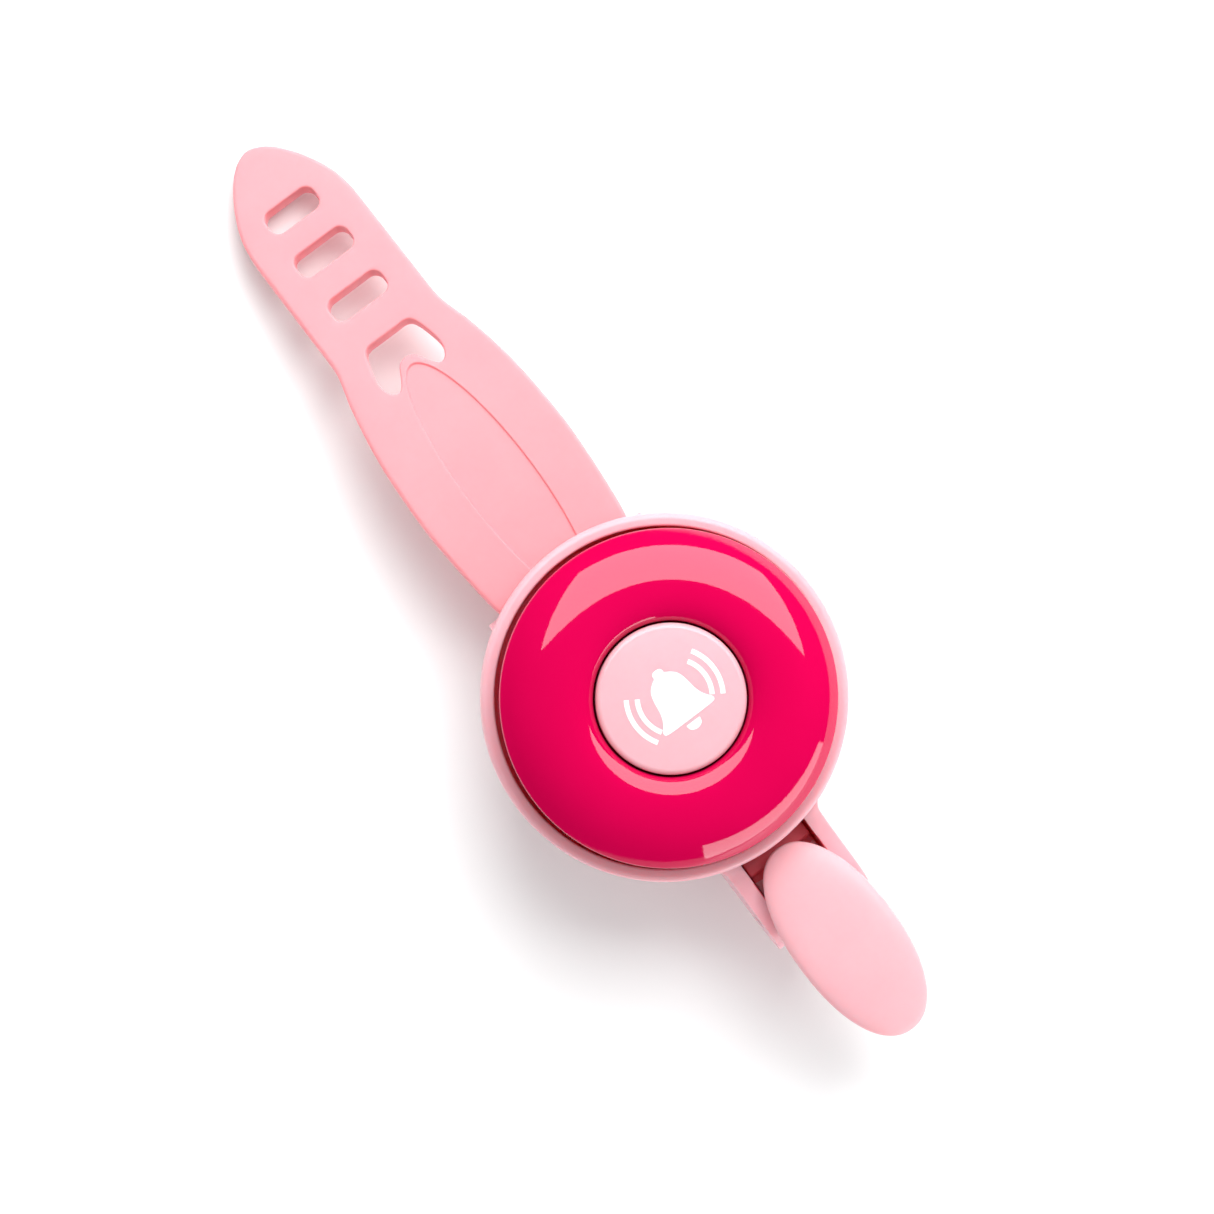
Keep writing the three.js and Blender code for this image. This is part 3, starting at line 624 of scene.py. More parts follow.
def makeDome(d):
    outer = domeSkin(d, 0, d["edgeRound"])
    inner = domeSkin(d, d["wall"], 0.2)
    r, z, wall, hole = d["recessRadius"], d["seatZ"], d["wall"], d["holeRadius"]
    well = filleted([(r, z + 3, 0), (r, z, 0.7), (hole, z, 0.1), (hole, z - wall, 0.1),
                     (r + wall, z - wall, 1.2), (r + wall, z + 2, 0)], 8)[1:-1]
    side, rim, turn = d["radius"], d["rimZ"], d["lipRound"]
    lip = filleted([(side - wall, rim + 2, 0), (side - wall, rim, turn),
                    (side, rim, turn), (side, rim + 2, 0)], 5)[1:-1]
    return turned("dome_shell", outer + well + inner[::-1] + lip, 224)


domeShell = makeDome(dome)
finishPiece(domeShell, "base", domePaint, ["bell_dome"], 40)

# centre cap with its printed mark

cap = {
    "radius": 8.95, "bore": 7.5, "topZ": 19.8, "footZ": 15.1,
    "roll": 0.75,  # width of the rounded edge
    "fall": 0.46,  # how much lower the top is at the rounded edge than in the middle
}
# the printed bell: its scale and place, the arcs beside it, and how its film is meshed
mark = {
    "scale": 1.18, "shift": (0.35, 0.4), "arcRadii": (3.75, 4.85), "arcWidth": 0.5, "arcHalf": 33,
    "arcCentre": (0.0, 0.3), "gridSteps": 24, "gridGap": 0.27, "levels": (0.016, -0.05),
}


def capSurface(r):
    # height of the cap's top at a distance from its middle
    t = min(1.0, r / (cap["radius"] - cap["roll"]))
    return cap["topZ"] - cap["fall"] * t ** 2.4


def makeCap(c):
    edge = c["radius"] - c["roll"]
    top = [(edge * k / 40, capSurface(edge * k / 40)) for k in range(41)]
    roll = []
    low = capSurface(edge)
    steps = 14
    for k in range(1, steps + 1):
        at = math.pi / 2 * k / steps
        roll.append((edge + c["roll"] * math.sin(at), low - 0.8 * (1 - math.cos(at))))
    side = filleted([(c["radius"], low - 1.0, 0), (c["radius"], 18.05, 0.1), (c["radius"] - 0.1, 17.9, 0.1),
                     (c["radius"] - 0.1, c["footZ"], 0.2), (c["bore"], c["footZ"], 0.2),
                     (c["bore"], c["topZ"] - 1.3, 0.5), (0, c["topZ"] - 1.05, 0)], 5)
    return turned("cap_button", top + roll + side, 144)


def bellOutline():
    # a plain bell seen from the front, upright, about 8 mm tall
    half = [(0.0, 3.55), (0.42, 3.5), (0.62, 3.2), (0.55, 2.92), (1.15, 2.62), (1.72, 2.05),
            (1.98, 1.2), (2.1, 0.1), (2.3, -0.75), (2.72, -1.45), (3.1, -1.85), (3.12, -2.2),
            (2.85, -2.38), (0.0, -2.38)]
    smooth = []
    for k in range(len(half) - 1):
        a, b = half[k], half[k + 1]
        for j in range(4):
            t = j / 4
            smooth.append((a[0] + (b[0] - a[0]) * t, a[1] + (b[1] - a[1]) * t))
    smooth.append(half[-1])
    for _ in range(3):
        smooth = [smooth[0]] + [((smooth[k - 1][0] + 2 * smooth[k][0] + smooth[k + 1][0]) / 4,
                                 (smooth[k - 1][1] + 2 * smooth[k][1] + smooth[k + 1][1]) / 4)
                                for k in range(1, len(smooth) - 1)] + [smooth[-1]]
    left = [(-x, y) for x, y in smooth[1:-1]][::-1]
    return smooth + left


def clapperOutline():
    return filleted([(-0.85, -2.72, 0.1), (0.85, -2.72, 0.1), (0.7, -3.35, 0.5), (0, -3.62, 0.8),
                     (-0.7, -3.35, 0.5)], 6)


def arcBand(radius, start, end):
    ca, cb = mark["arcCentre"]
    half = mark["arcWidth"] / 2
    return arc(ca, cb, radius + half, start, end, 20) + arc(ca, cb, radius - half, end, start, 20)


def inkShape(name, loop):
    # a thin printed film that follows the cap's top
    loop = [(x * mark["scale"], y * mark["scale"]) for x, y in loop]
    count = len(loop)
    steps = range(-mark["gridSteps"], mark["gridSteps"] + 1)
    grid = [(ix * mark["gridGap"], iy * mark["gridGap"]) for ix in steps for iy in steps]
    points = [Vector(p) for p in loop]
    points += [Vector(p) for p in grid if insideLoop(p, loop, 0.12)]
    edges = [(k, (k + 1) % count) for k in range(count)]
    found = geometry.delaunay_2d_cdt(points, edges, [], 0, 1e-6)
    flat, tris, origins = found[0], found[2], found[3]
    keep = trisInside(flat, tris, loop)
    verts = []
    for level in mark["levels"]:
        for p in flat:
            # the mark's up points to -X and its right to +Y
            x, y = -p.y + mark["shift"][0], p.x + mark["shift"][1]
            verts.append((x, y, capSurface(math.hypot(x, y)) + level))
    size = len(flat)
    faces = keep + [tuple(i + size for i in reversed(t)) for t in keep]
    order = {o[0] if o else -1: k for k, o in enumerate(origins)}
    for k in range(count):
        a, b = order[k], order[(k + 1) % count]
        faces.append((a, b, b + size, a + size))
    return tidy(linkMesh(name, verts, faces))


def makeMark(m):
    loops = [bellOutline(), clapperOutline()]
    for side in (0, 180):
        loops += [arcBand(radius, side - m["arcHalf"], side + m["arcHalf"]) for radius in m["arcRadii"]]
    films = [inkShape("mark_film_%d" % k, loop) for k, loop in enumerate(loops)]
    for film in films[1:]:
        work = bmesh.new()
        work.from_mesh(films[0].data)
        work.from_mesh(film.data)
        work.to_mesh(films[0].data)
        work.free()
        drop(film)
    films[0].name = "cap_mark"
    return tidy(films[0])


capButton = makeCap(cap)
finishPiece(capButton, "base", capPink, ["centre_cap"], 40)
capMark = makeMark(mark)
shade(capMark, 40)
capMark.data.materials.append(capInk)
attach(capMark, "base")
print("dome and cap made")

# cup and block

# holes through the block and the cover for the cover's screws
screwHoles = {"radius": 1.1, "places": [(-9.5, -8.6), (-9.5, 8.6), (9.5, -8.6), (9.5, 8.6)]}
cup = {
    "outer": 22.05, "wall": 1.6, "lipRounds": (0.9, 0.32), "lipZ": 11.55, "floorZ": 8.2, "underZ": 6.6,
    "postRadius": 4.3, "postTop": 11.9, "channel": 4.75, "earOuter": 6.8,
    "pivot": (29.0, 3.0), "pinBore": 1.15, "earRadius": 4.4, "webTop": 0.1,
    "strapPin": (-17.0, 3.6), "strapBore": 1.4, "lugIn": 9.9, "lugOut": 11.5,
    "blockBottom": 3.6, "blockEnds": (-14.2, 16.4), "blockHalf": 11.0, "insertBore": 2.45,
}


def makeCupBody(c):
    inner = c["outer"] - c["wall"]
    outRound, inRound = c["lipRounds"]
    gap = c["channel"]
    profile = [(0, c["underZ"])]
    profile += filleted([(0, c["underZ"], 0), (c["outer"], c["underZ"], 2.1),
                         (c["outer"], c["lipZ"], outRound), (inner, c["lipZ"], inRound),
                         (inner, c["floorZ"], 0.6), (c["postRadius"], c["floorZ"], 0.5),
                         (c["postRadius"] - 0.2, c["postTop"], 0.25), (0, c["postTop"], 0)], 10)[1:]
    body = turned("cup_body", profile, 192)
    block = prism("block", roundedRect(*c["blockEnds"], -c["blockHalf"], c["blockHalf"], 3),
                  c["blockBottom"], c["underZ"] + 0.5, 0.3)
    combine(body, block)
    px, pz = c["pivot"]
    bottom = pz - c["earRadius"]
    start = c["blockEnds"][1] + 0.3
    sideLoop = [(start, bottom)] + arc(px, pz, c["earRadius"], -90, 90, 24)
    sideLoop += [(24.5, 8.0), (22.4, 8.6), (20.4, 9.6), (start, 9.6)]
    # in plan, a 2 mm fillet leads from each ear into the cup's round wall
    reach = c["outer"] + 2.0
    cy = c["earOuter"] + 2.0
    cx = math.sqrt(reach ** 2 - cy ** 2)
    ringAngle = math.degrees(math.atan2(cy, cx)) - 180
    plan = [(start, gap), (px + 6, gap), (px + 6, c["earOuter"])]
    plan += arc(cx, cy, 2.0, -90, ringAngle, 10) + [(start, cy - 0.6)]
    for side in (1, -1):
        slabSide = prism("ear", sideLoop, 0, 12, plane="XZ")
        slabPlan = prism("ear_plan", plan, bottom - 1, 10.6)
        combine(slabSide, slabPlan, "INTERSECT")
        hollow = rod("hollow", inner - 0.02, c["floorZ"], 14, steps=192)
        combine(slabSide, hollow, "DIFFERENCE")
        tidy(slabSide)
        soften(slabSide, 0.32, 3, 40)
        if side < 0:
            slabSide.data.transform(Matrix.Scale(-1, 4, (0, 1, 0)))
            tidy(slabSide)
        combine(body, slabSide)
    webHalf = c["earOuter"] - 0.02
    web = prism("web", roundedRect(start, px + 3.6, -webHalf, webHalf, 1.0), bottom, c["webTop"], 0.2)
    tongue = prism("tongue", roundedRect(px, 35.7, -2.4, 2.4, 2.3), bottom + 0.01, c["webTop"] - 0.01, 0.2)
    combine(web, tongue)
    combine(body, web)
    sx, sz = c["strapPin"]
    lugLoop = arc(sx, sz, 2.3, 90, 270, 20)
    lugLoop += [(-14.8, 1.5), (-14.8, 3.6), (-11.0, 3.6), (-11.0, 6.9), (-18.6, 6.9)]
    for low, high in ((c["lugIn"], c["lugOut"]), (-c["lugOut"], -c["lugIn"])):
        combine(body, prism("lug", lugLoop, low, high, 0.25, 3, "XZ"))
    cutShape(body, "slot", roundedRect(8.5, inner - 0.6, -gap, gap, 0.8), 1, 12, "XY")
    # the opening in the cup's wall, drawn facing Y and then turned to face X
    window = prism("window", filleted([(-gap, 1, 0), (gap, 1, 0), (gap, 8.0, 0.8), (-gap, 8.0, 0.8)], 6),
                   18.4, 24.2, plane="XZ")
    window.data.transform(Matrix(((0, 1, 0, 0), (1, 0, 0, 0), (0, 0, 1, 0), (0, 0, 0, 1))))
    combine(body, tidy(window), "DIFFERENCE")
    cutBore(body, c["pinBore"], -12, 12, (px, pz), "Y", 48)
    cutBore(body, c["strapBore"], -14, 14, (sx, sz), "Y", 48)
    cutBore(body, c["insertBore"], 7.2, 14, steps=48)
    for place in screwHoles["places"]:
        cutBore(body, screwHoles["radius"], 0, 10, place)
    return body


cupBody = makeCupBody(cup)
finishPiece(cupBody, "base", cupPink, ["base_housing"], 30)
print("cup made")

# foot: cover, hook, pad

foot = {
    "grooveRadius": 11.5, "padThickness": 1.6, "padHalfAngle": 0.84, "bandHalf": 2.0,
    "landZ": -8.0, "topZ": 3.4, "endX": 16.4, "halfWidth": 11.0,
    "hookHalf": 3.2, "ribs": 7, "ribDepth": 0.16,
}


def makeCover(f):
    e, w = f["endX"], f["halfWidth"]
    cover = prism("foot_cover", roundedRect(-e, e, -w, w, 3, 10), f["landZ"], f["topZ"], 0.5, 4)
    axis = -f["grooveRadius"]
    half = math.degrees(f["padHalfAngle"]) + 1.7
    bed = arc(0, axis, f["grooveRadius"] + f["padThickness"] + 0.2, 90 - half, 90 + half, 40)
    bed += [(-1, axis), (1, axis)]
    cutShape(cover, "bed", bed, -w - 1, w + 1)
    barLoop = arc(0, axis, f["grooveRadius"] + 0.3, 0, 360, 120)[:-1]
    cutShape(cover, "bar", barLoop, -w - 1, w + 1)
    sx, sz = cup["strapPin"]
    cutShape(cover, "eye_room", arc(sx, sz, 2.9, 0, 360, 60)[:-1], -14, 14)
    for x, z in ((sx, 0.6), (-14.4, 1.2)):
        cutShape(cover, "clear", [(-30, z), (x, z), (x, 12), (-30, 12)], -14, 14)
    pocket = [(10.6, 0.9), (e + 2, 0.9), (e + 2, 12), (10.6, 12)]
    cutShape(cover, "pocket", pocket, -cup["channel"], cup["channel"])
    tidy(cover)
    soften(cover, 0.22, 2, 45)
    hook = filleted([(e - 1.0, -2.4, 0), (20.6, -2.4, 1.2), (22.0, -4.75, 0.5), (23.0, -4.9, 0.45),
                     (23.3, -6.3, 0.5), (22.4, -7.2, 0.7), (21.2, -7.2, 0.5), (19.1, -4.5, 0.8),
                     (e - 1.0, -4.8, 0)], 6)
    combine(cover, prism("hook", hook, -f["hookHalf"], f["hookHalf"], 0.35, 4, "XZ"))
    for place in screwHoles["places"]:
        cutBore(cover, screwHoles["radius"], -0.4, 10, place)
    return cover


def makePad(f):
    # the bar's side is ribbed along the bar, but for the flat band on top
    axis = -f["grooveRadius"]
    half = f["padHalfAngle"]
    lower = []
    band = math.pi / 2 - math.asin(f["bandHalf"] / f["grooveRadius"])
    bandLift = axis + f["grooveRadius"] * math.sin(band)
    steps = 90
    for k in range(steps + 1):
        at = band + (math.pi / 2 - half - band) * k / steps
        t = k / steps
        groove = f["ribDepth"] * 0.5 * (1 - math.cos(2 * math.pi * f["ribs"] * t))
        x = (f["grooveRadius"] + groove) * math.cos(at)
        z = axis + (f["grooveRadius"] + groove) * math.sin(at) - bandLift * (1 - t)
        lower.append((x, z))
    spread = math.degrees(half)
    upper = arc(0, axis, f["grooveRadius"] + f["padThickness"], 90 - spread, 90 + spread, 60)
    left = [(-x, z) for x, z in lower][::-1]
    w = f["halfWidth"] - 0.3
    return prism("saddle_cushion", lower + upper + left, -w, w, 0.3, 3, "XZ")


footCover = makeCover(foot)
finishPiece(footCover, "base", coverPink, ["bottom_cover"], 30)
saddleCushion = makePad(foot)
finishPiece(saddleCushion, "base", padPink, ["saddle_pad"], 40)
print("foot made")

# pins

pins = {"pivotRadius": 1.0, "pivotHalf": 6.65, "strapRadius": 1.25, "strapHalf": 11.5, "dimple": 0.35}


def makePin(name, radius, half, centre):
    dish = pins["dimple"]
    profile = [(0, -half + dish * 0.6), (radius * 0.45, -half + dish * 0.15)]
    profile += filleted([(radius * 0.5, -half, 0.05), (radius, -half, 0.22), (radius, half, 0.22),
                         (radius * 0.5, half, 0.05)], 5)
    profile += [(radius * 0.45, half - dish * 0.15), (0, half - dish * 0.6)]
    pin = turned(name, profile, 64)
    pin.data.transform(Matrix.Rotation(math.radians(-90), 4, "X"))
    pin.data.transform(Matrix.Translation((centre[0] * mm, 0, centre[1] * mm)))
    return pin


leverPin = makePin("lever_pin", pins["pivotRadius"], pins["pivotHalf"], cup["pivot"])
finishPiece(leverPin, "base", pinSteel, ["pivot_pin"], 40)
strapRod = makePin("strap_rod", pins["strapRadius"], pins["strapHalf"] - 0.1, cup["strapPin"])
finishPiece(strapRod, "base", pinSteel, ["strap_pin"], 40)

# screws: one pan-head shape, set on points

screw = {
    "headRadius": 1.75, "headHeight": 1.3, "shankRadius": 0.95, "headZ": 8.4, "tipZ": -0.1, "pitch": 0.45,
}


def makeScrew(name, s):
    shank, r, z1 = s["shankRadius"], s["headRadius"], s["headZ"]
    top = z1 + s["headHeight"]
    profile = [(0, s["tipZ"]), (shank * 0.5, s["tipZ"] + 0.15)]
    z = s["tipZ"] + 0.7
    while z < z1 - 0.9:
        profile += [(shank * 0.84, z), (shank, z + s["pitch"] * 0.45), (shank, z + s["pitch"] * 0.55)]
        z += s["pitch"]
    profile += [(shank * 0.9, z), (shank * 0.9, z1)]
    profile += filleted([(shank * 0.95, z1, 0), (r, z1, 0.15), (r, z1 + s["headHeight"] * 0.6, 0.35),
                         (r * 0.7, top, 0.4), (0, top, 0)], 5)
    body = turned(name, profile, 40)
    arm = r * 0.55
    for a, b in ((arm, 0.24), (0.24, arm)):
        cutShape(body, "cross", roundedRect(-a, a, -b, b, 0.1, 3), top - 0.75, top + 1, "XY")
    return tidy(body)


def geometryTree(name, labels, material):
    # a node group with a number for each label, ending in one real mesh with one finish
    tree = bpy.data.node_groups.new(name, "GeometryNodeTree")
    nodes, links, face = tree.nodes, tree.links, tree.interface
    face.new_socket("Geometry", in_out="INPUT", socket_type="NodeSocketGeometry")
    keys = {}
    for label in labels:
        socket = face.new_socket(label, in_out="INPUT", socket_type="NodeSocketFloat")
        keys[label] = socket.identifier
    face.new_socket("Geometry", in_out="OUTPUT", socket_type="NodeSocketGeometry")
    start = nodes.new("NodeGroupInput")
    real = nodes.new("GeometryNodeRealizeInstances")
    paint = nodes.new("GeometryNodeSetMaterial")
    paint.inputs["Material"].default_value = material
    end = nodes.new("NodeGroupOutput")
    links.new(real.outputs["Geometry"], paint.inputs["Geometry"])
    links.new(paint.outputs["Geometry"], end.inputs["Geometry"])
    return tree, keys, start, real


def bakeTree(obj, tree, keys, values):
    step = obj.modifiers.new(tree.name, "NODES")
    step.node_group = tree
    for label, value in values.items():
        step[keys[label]] = value
    return bakeModifiers(obj)


def scatterTree(name, piece, material):
    # one piece on every point of a mesh, each turned by its own amount
    tree, keys, start, real = geometryTree(name, ("Size", "Turn spread"), material)
    nodes, links = tree.nodes, tree.links
    source = nodes.new("GeometryNodeObjectInfo")
    source.inputs["Object"].default_value = piece
    put = nodes.new("GeometryNodeInstanceOnPoints")
    spin = nodes.new("FunctionNodeRandomValue")
    spin.data_type = "FLOAT"
    spin.inputs["Seed"].default_value = 4
    swing = nodes.new("ShaderNodeCombineXYZ")
    links.new(start.outputs["Geometry"], put.inputs["Points"])
    links.new(source.outputs["Geometry"], put.inputs["Instance"])
    links.new(start.outputs["Size"], put.inputs["Scale"])
    links.new(start.outputs["Turn spread"], spin.inputs["Max"])
    links.new(spin.outputs["Value"], swing.inputs["Z"])
    links.new(swing.outputs["Vector"], put.inputs["Rotation"])
    links.new(put.outputs["Instances"], real.inputs["Geometry"])
    return tree, keys


def makeScrewSet(s):
    one = makeScrew("one_screw", s)
    tree, keys = scatterTree("screw_set", one, pinSteel)
    points = linkMesh("cover_screws", [(x, y, 0) for x, y in screwHoles["places"]], [])
    bakeTree(points, tree, keys, {"Size": 1.0, "Turn spread": 1.4})
    drop(one)
    return points


coverScrews = makeScrewSet(screw)
finishPiece(coverScrews, "base", pinSteel,
            ["cover_screw_1", "cover_screw_2", "cover_screw_3", "cover_screw_4"], 40)

# what holds the dome

stack = {
    "isolatorRadius": 6.2, "bore": 1.7, "lowerZ": (12.1, 13.1), "upperZ": (13.4, 14.6, 15.4),
    "spigot": 3.2, "flange": 6.3, "retainer": (7.3, 15.6, 17.3), "washer": (4.6, 16.6, 17.0),
    "insert": (1.6, 2.3, 7.4, 11.7), "knurls": 5, "knurlDepth": 0.25,
}
bolt = {"headRadius": 3.0, "headHeight": 1.3, "shankRadius": 1.4, "headZ": 17.2, "tipZ": 8.2, "pitch": 0.6}


def turnedPiece(name, corners, material, node, steps=5):
    piece = turned(name, filleted(corners, steps), 72)
    finishPiece(piece, "base", material, [node], 40)


def makeBush(s):
    r0, r1, z0, z1 = s["insert"]
    low = r1 - s["knurlDepth"]
    knurl = [(r0, z0), (low, z0)]
    for k in range(s["knurls"]):
        z = z0 + 0.5 + k * 0.72
        knurl += [(low, z), (r1, z + 0.12), (r1, z + 0.5), (low, z + 0.62)]
    return turned("post_bush", knurl + [(low, z1), (r0, z1)], 48)


def makeStack(s):
    bore = s["bore"]
    r, (z0, z1) = s["isolatorRadius"], s["lowerZ"]
    turnedPiece("lower_ring", [(bore, z0, 0.15), (r, z0, 0.25), (r, z1, 0.25), (bore, z1, 0.15)],
                ringRubber, "isolator_lower")
    a, b, c = s["upperZ"]
    turnedPiece("upper_ring", [(bore, a, 0.15), (s["spigot"], a, 0.25), (s["spigot"], b, 0.1),
                               (s["flange"], b, 0.2), (s["flange"], c, 0.25), (bore, c, 0.15)],
                ringRubber, "isolator_upper")
    r, z0, z1 = s["retainer"]
    turnedPiece("cap_keeper", [(bore, z0, 0.1), (r, z0, 0.3), (r, z1, 0.35), (r - 1.1, z1, 0.2),
                               (r - 1.1, z0 + 0.8, 0.3), (bore, z0 + 0.8, 0.1)],
                retainerNylon, "cap_retainer")
    r, z0, z1 = s["washer"]
    turnedPiece("dome_ring_washer", [(bore, z0, 0.06), (r, z0, 0.12), (r, z1, 0.12), (bore, z1, 0.06)],
                pinSteel, "dome_washer", 4)
    finishPiece(makeScrew("dome_bolt", bolt), "base", pinSteel, ["dome_screw"], 40)
    finishPiece(makeBush(s), "base", strikerBrass, ["post_insert"], 30)


makeStack(stack)
print("dome fixings made")

# lever: paddle, stem, hub and arm in one moulding

lever = {
    "centreX": 36.4, "halfLength": 13.6, "halfWidth": 6.55, "topZ": 11.6, "underZ": 8.3, "droop": 1.5,
    "squareness": 2.15, "half": 4.45, "armInner": 12.0, "armStep": 24.1, "armTop": 5.8, "hub": 2.4,
    "seatZ": 5.1, "rivetX": 16.2, "rivetBore": 0.95,
}


def makePaddle(p):
    around, rows = 176, 30
    middle = (p["topZ"] + p["underZ"]) / 2 + 0.1
    profile = []
    for k in range(1, rows + 1):
        at = k / rows * math.pi / 2
        profile.append((math.sin(at) ** 0.68, middle + (p["topZ"] - middle) * max(0, math.cos(at)) ** 0.58))
    for k in range(1, rows):
        at = (1 - k / rows) * math.pi / 2
        profile.append((math.sin(at) ** 0.6, middle - (middle - p["underZ"]) * math.cos(at) ** 0.55))
    verts = [(p["centreX"], 0, p["topZ"])]
    power = 2 / p["squareness"]
    for scale, z in profile:
        for j in range(around):
            at = 2 * math.pi * j / around
            c, s = math.cos(at), math.sin(at)
            x = p["halfLength"] * scale * math.copysign(abs(c) ** power, c)
            y = p["halfWidth"] * scale * math.copysign(abs(s) ** power, s)
            verts.append((p["centreX"] + x, y, z - p["droop"] * (x / p["halfLength"]) ** 2))
    verts.append((p["centreX"], 0, p["underZ"]))
    faces = []
    last = len(verts) - 1
    for j in range(around):
        k = (j + 1) % around
        faces.append((0, 1 + j, 1 + k))
        for i in range(len(profile) - 1):
            a, b = 1 + i * around + j, 1 + i * around + k
            faces.append((a, a + around, b + around, b))
        base = 1 + (len(profile) - 1) * around
        faces.append((last, base + k, base + j))
    return tidy(linkMesh("thumb_paddle", verts, faces))


def makeLever(p):
    px, pz = cup["pivot"]
    paddle = makePaddle(p)
    stemHalf = p["half"] - 0.4
    low, seat, top = p["underZ"], p["seatZ"], p["armTop"]
    stem = filleted([(px - 2.3, pz + 0.2, 0), (px + 2.2, pz - 0.2, 0), (px + 2.3, seat, 0.3),
                     (34.9, seat, 0.3), (35.1, low + 1.4, 0), (px - 3.6, low + 1.4, 0),
                     (px - 3.2, low - 0.6, 0)], 5)
    combine(paddle, prism("stem", stem, -stemHalf, stemHalf, 0.3, 3, "XZ"))
    arm = filleted([(p["armInner"], top, 0.5), (p["armInner"], pz + 0.6, 0.3),
                    (p["armInner"] + 1.2, pz - 0.6, 0.4), (px - 1.5, pz - 0.9, 0), (px, pz + 2.2, 0),
                    (px - 2.2, pz + 1.6, 0.3), (p["armStep"], pz + 1.4, 0.4), (p["armStep"], top, 0.35)], 5)
    combine(paddle, prism("arm", arm, -p["half"], p["half"], 0.25, 3, "XZ"))
    combine(paddle, rod("hub", p["hub"], -p["half"], p["half"], (px, pz), "Y", 72, 0.25))
    cutBore(paddle, cup["pinBore"], -9, 9, (px, pz), "Y", 48)
    cutBore(paddle, p["rivetBore"], 4.2, 9, (p["rivetX"], 0))
    return paddle


thumbPaddle = makeLever(lever)
finishPiece(thumbPaddle, "lever", leverPink, ["thumb_lever"], 34)

# leaf, rivet and striker

leaf = {"x": 12.7, "thickness": 0.4, "half": 1.6, "footZ": 5.9, "topZ": 12.8, "tailX": 18.1, "bend": 0.75}


def makeLeaf(f):
    t = f["thickness"]
    left = f["x"] - t
    centreA, centreB = left + f["bend"] + 0.1, f["footZ"] + f["bend"] + 0.1
    outerBend = arc(centreA, centreB, f["bend"] + 0.1, 180, 270, 8)
    innerBend = arc(centreA, centreB, f["bend"] + 0.1 - t, 270, 180, 8)
    rise = [centreB + (f["topZ"] - centreB) * k / 16 for k in range(1, 17)]
    loop = [(left, z) for z in rise][::-1] + outerBend
    loop += [(f["tailX"], f["footZ"]), (f["tailX"], f["footZ"] + t)] + innerBend
    loop += [(f["x"], z) for z in rise]
    strip = prism("striker_leaf", loop, -f["half"], f["half"], 0.06, 2, "XZ")
    cutBore(strip, lever["rivetBore"], 4, 8, (lever["rivetX"], 0))
    return strip


strikerLeaf = makeLeaf(leaf)
tidy(strikerLeaf)
shade(strikerLeaf, 35)
strikerLeaf.data.materials.append(springSteel)
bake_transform(strikerLeaf)
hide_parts("hammer_leaf")


def makeRivet():
    z = leaf["footZ"] + leaf["thickness"] + 0.1
    corners = [(0.8, 4.4, 0.2), (0.8, z, 0), (1.6, z, 0.1), (1.5, z + 0.45, 0.3), (0.6, z + 0.7, 0.4)]
    stud = turned("leaf_stud", [(0, 4.4)] + filleted(corners, 5) + [(0, z + 0.7)], 48)
    stud.data.transform(Matrix.Translation((lever["rivetX"] * mm, 0, 0)))
    return stud


leafRivet = makeRivet()
finishPiece(leafRivet, "lever", pinSteel, ["leaf_rivet"], 40)

striker = {"radius": 2.2, "half": 2.3, "z": 12.2, "leafGap": 0.15}


def makeStriker(s):
    r, h = s["radius"], s["half"]
    corners = [(0, -h, 0), (1.2, -h, 0.3), (r, -0.9, 0.8), (r, 0.9, 0.8), (1.2, h, 0.3), (0, h, 0)]
    head = turned("striker_head", [(0, -h)] + filleted(corners, 8)[1:-1] + [(0, h)], 96)
    x = leaf["x"] - leaf["thickness"] / 2
    head.data.transform(Matrix.Translation((x * mm, 0, s["z"] * mm)))
    gap = s["leafGap"]
    slit = roundedRect(leaf["x"] - leaf["thickness"] - gap, leaf["x"] + gap, -leaf["half"] - gap,
                       leaf["half"] + gap, 0.05, 2)
    cut = prism("cut", slit, s["z"] - 4, leaf["topZ"] + gap)
    return combine(head, cut, "DIFFERENCE")


strikerHead = makeStriker(striker)
finishPiece(strikerHead, "hammer", strikerBrass, ["hammer_head"], 35)
print("lever and striker made")

# return spring: a wire swept along a coil

coil = {"x": 33.4, "radius": 1.225, "wire": 0.225, "lowZ": 0.2, "highZ": 4.89, "turns": 5.0}


def coilTree(name, material):
    labels = ("Coil radius", "Wire radius", "Turns", "Height")
    tree, keys, start, real = geometryTree(name, labels, material)
    nodes, links = tree.nodes, tree.links
    spiral = nodes.new("GeometryNodeCurveSpiral")
    spiral.inputs["Resolution"].default_value = 28
    wire = nodes.new("GeometryNodeCurvePrimitiveCircle")
    wire.inputs["Resolution"].default_value = 12
    sweep = nodes.new("GeometryNodeCurveToMesh")
    sweep.inputs["Fill Caps"].default_value = True
    links.new(start.outputs["Coil radius"], spiral.inputs["Start Radius"])
    links.new(start.outputs["Coil radius"], spiral.inputs["End Radius"])
    links.new(start.outputs["Turns"], spiral.inputs["Rotations"])
    links.new(start.outputs["Height"], spiral.inputs["Height"])
    links.new(start.outputs["Wire radius"], wire.inputs["Radius"])
    links.new(spiral.outputs["Curve"], sweep.inputs["Curve"])
    links.new(wire.outputs["Curve"], sweep.inputs["Profile Curve"])
    links.new(sweep.outputs["Mesh"], real.inputs["Geometry"])
    return tree, keys


def makeSpring(s):
    tree, keys = coilTree("coil_spring", springSteel)
    obj = linkMesh("lever_spring", [(0, 0, 0)], [])
    bakeTree(obj, tree, keys, {
        "Coil radius": s["radius"] * mm,
        "Wire radius": s["wire"] * mm,
        "Turns": s["turns"],
        "Height": (s["highZ"] - s["lowZ"] - 2 * s["wire"]) * mm,
    })
    obj.data.transform(Matrix.Translation((s["x"] * mm, 0, (s["lowZ"] + s["wire"]) * mm)))
    return obj


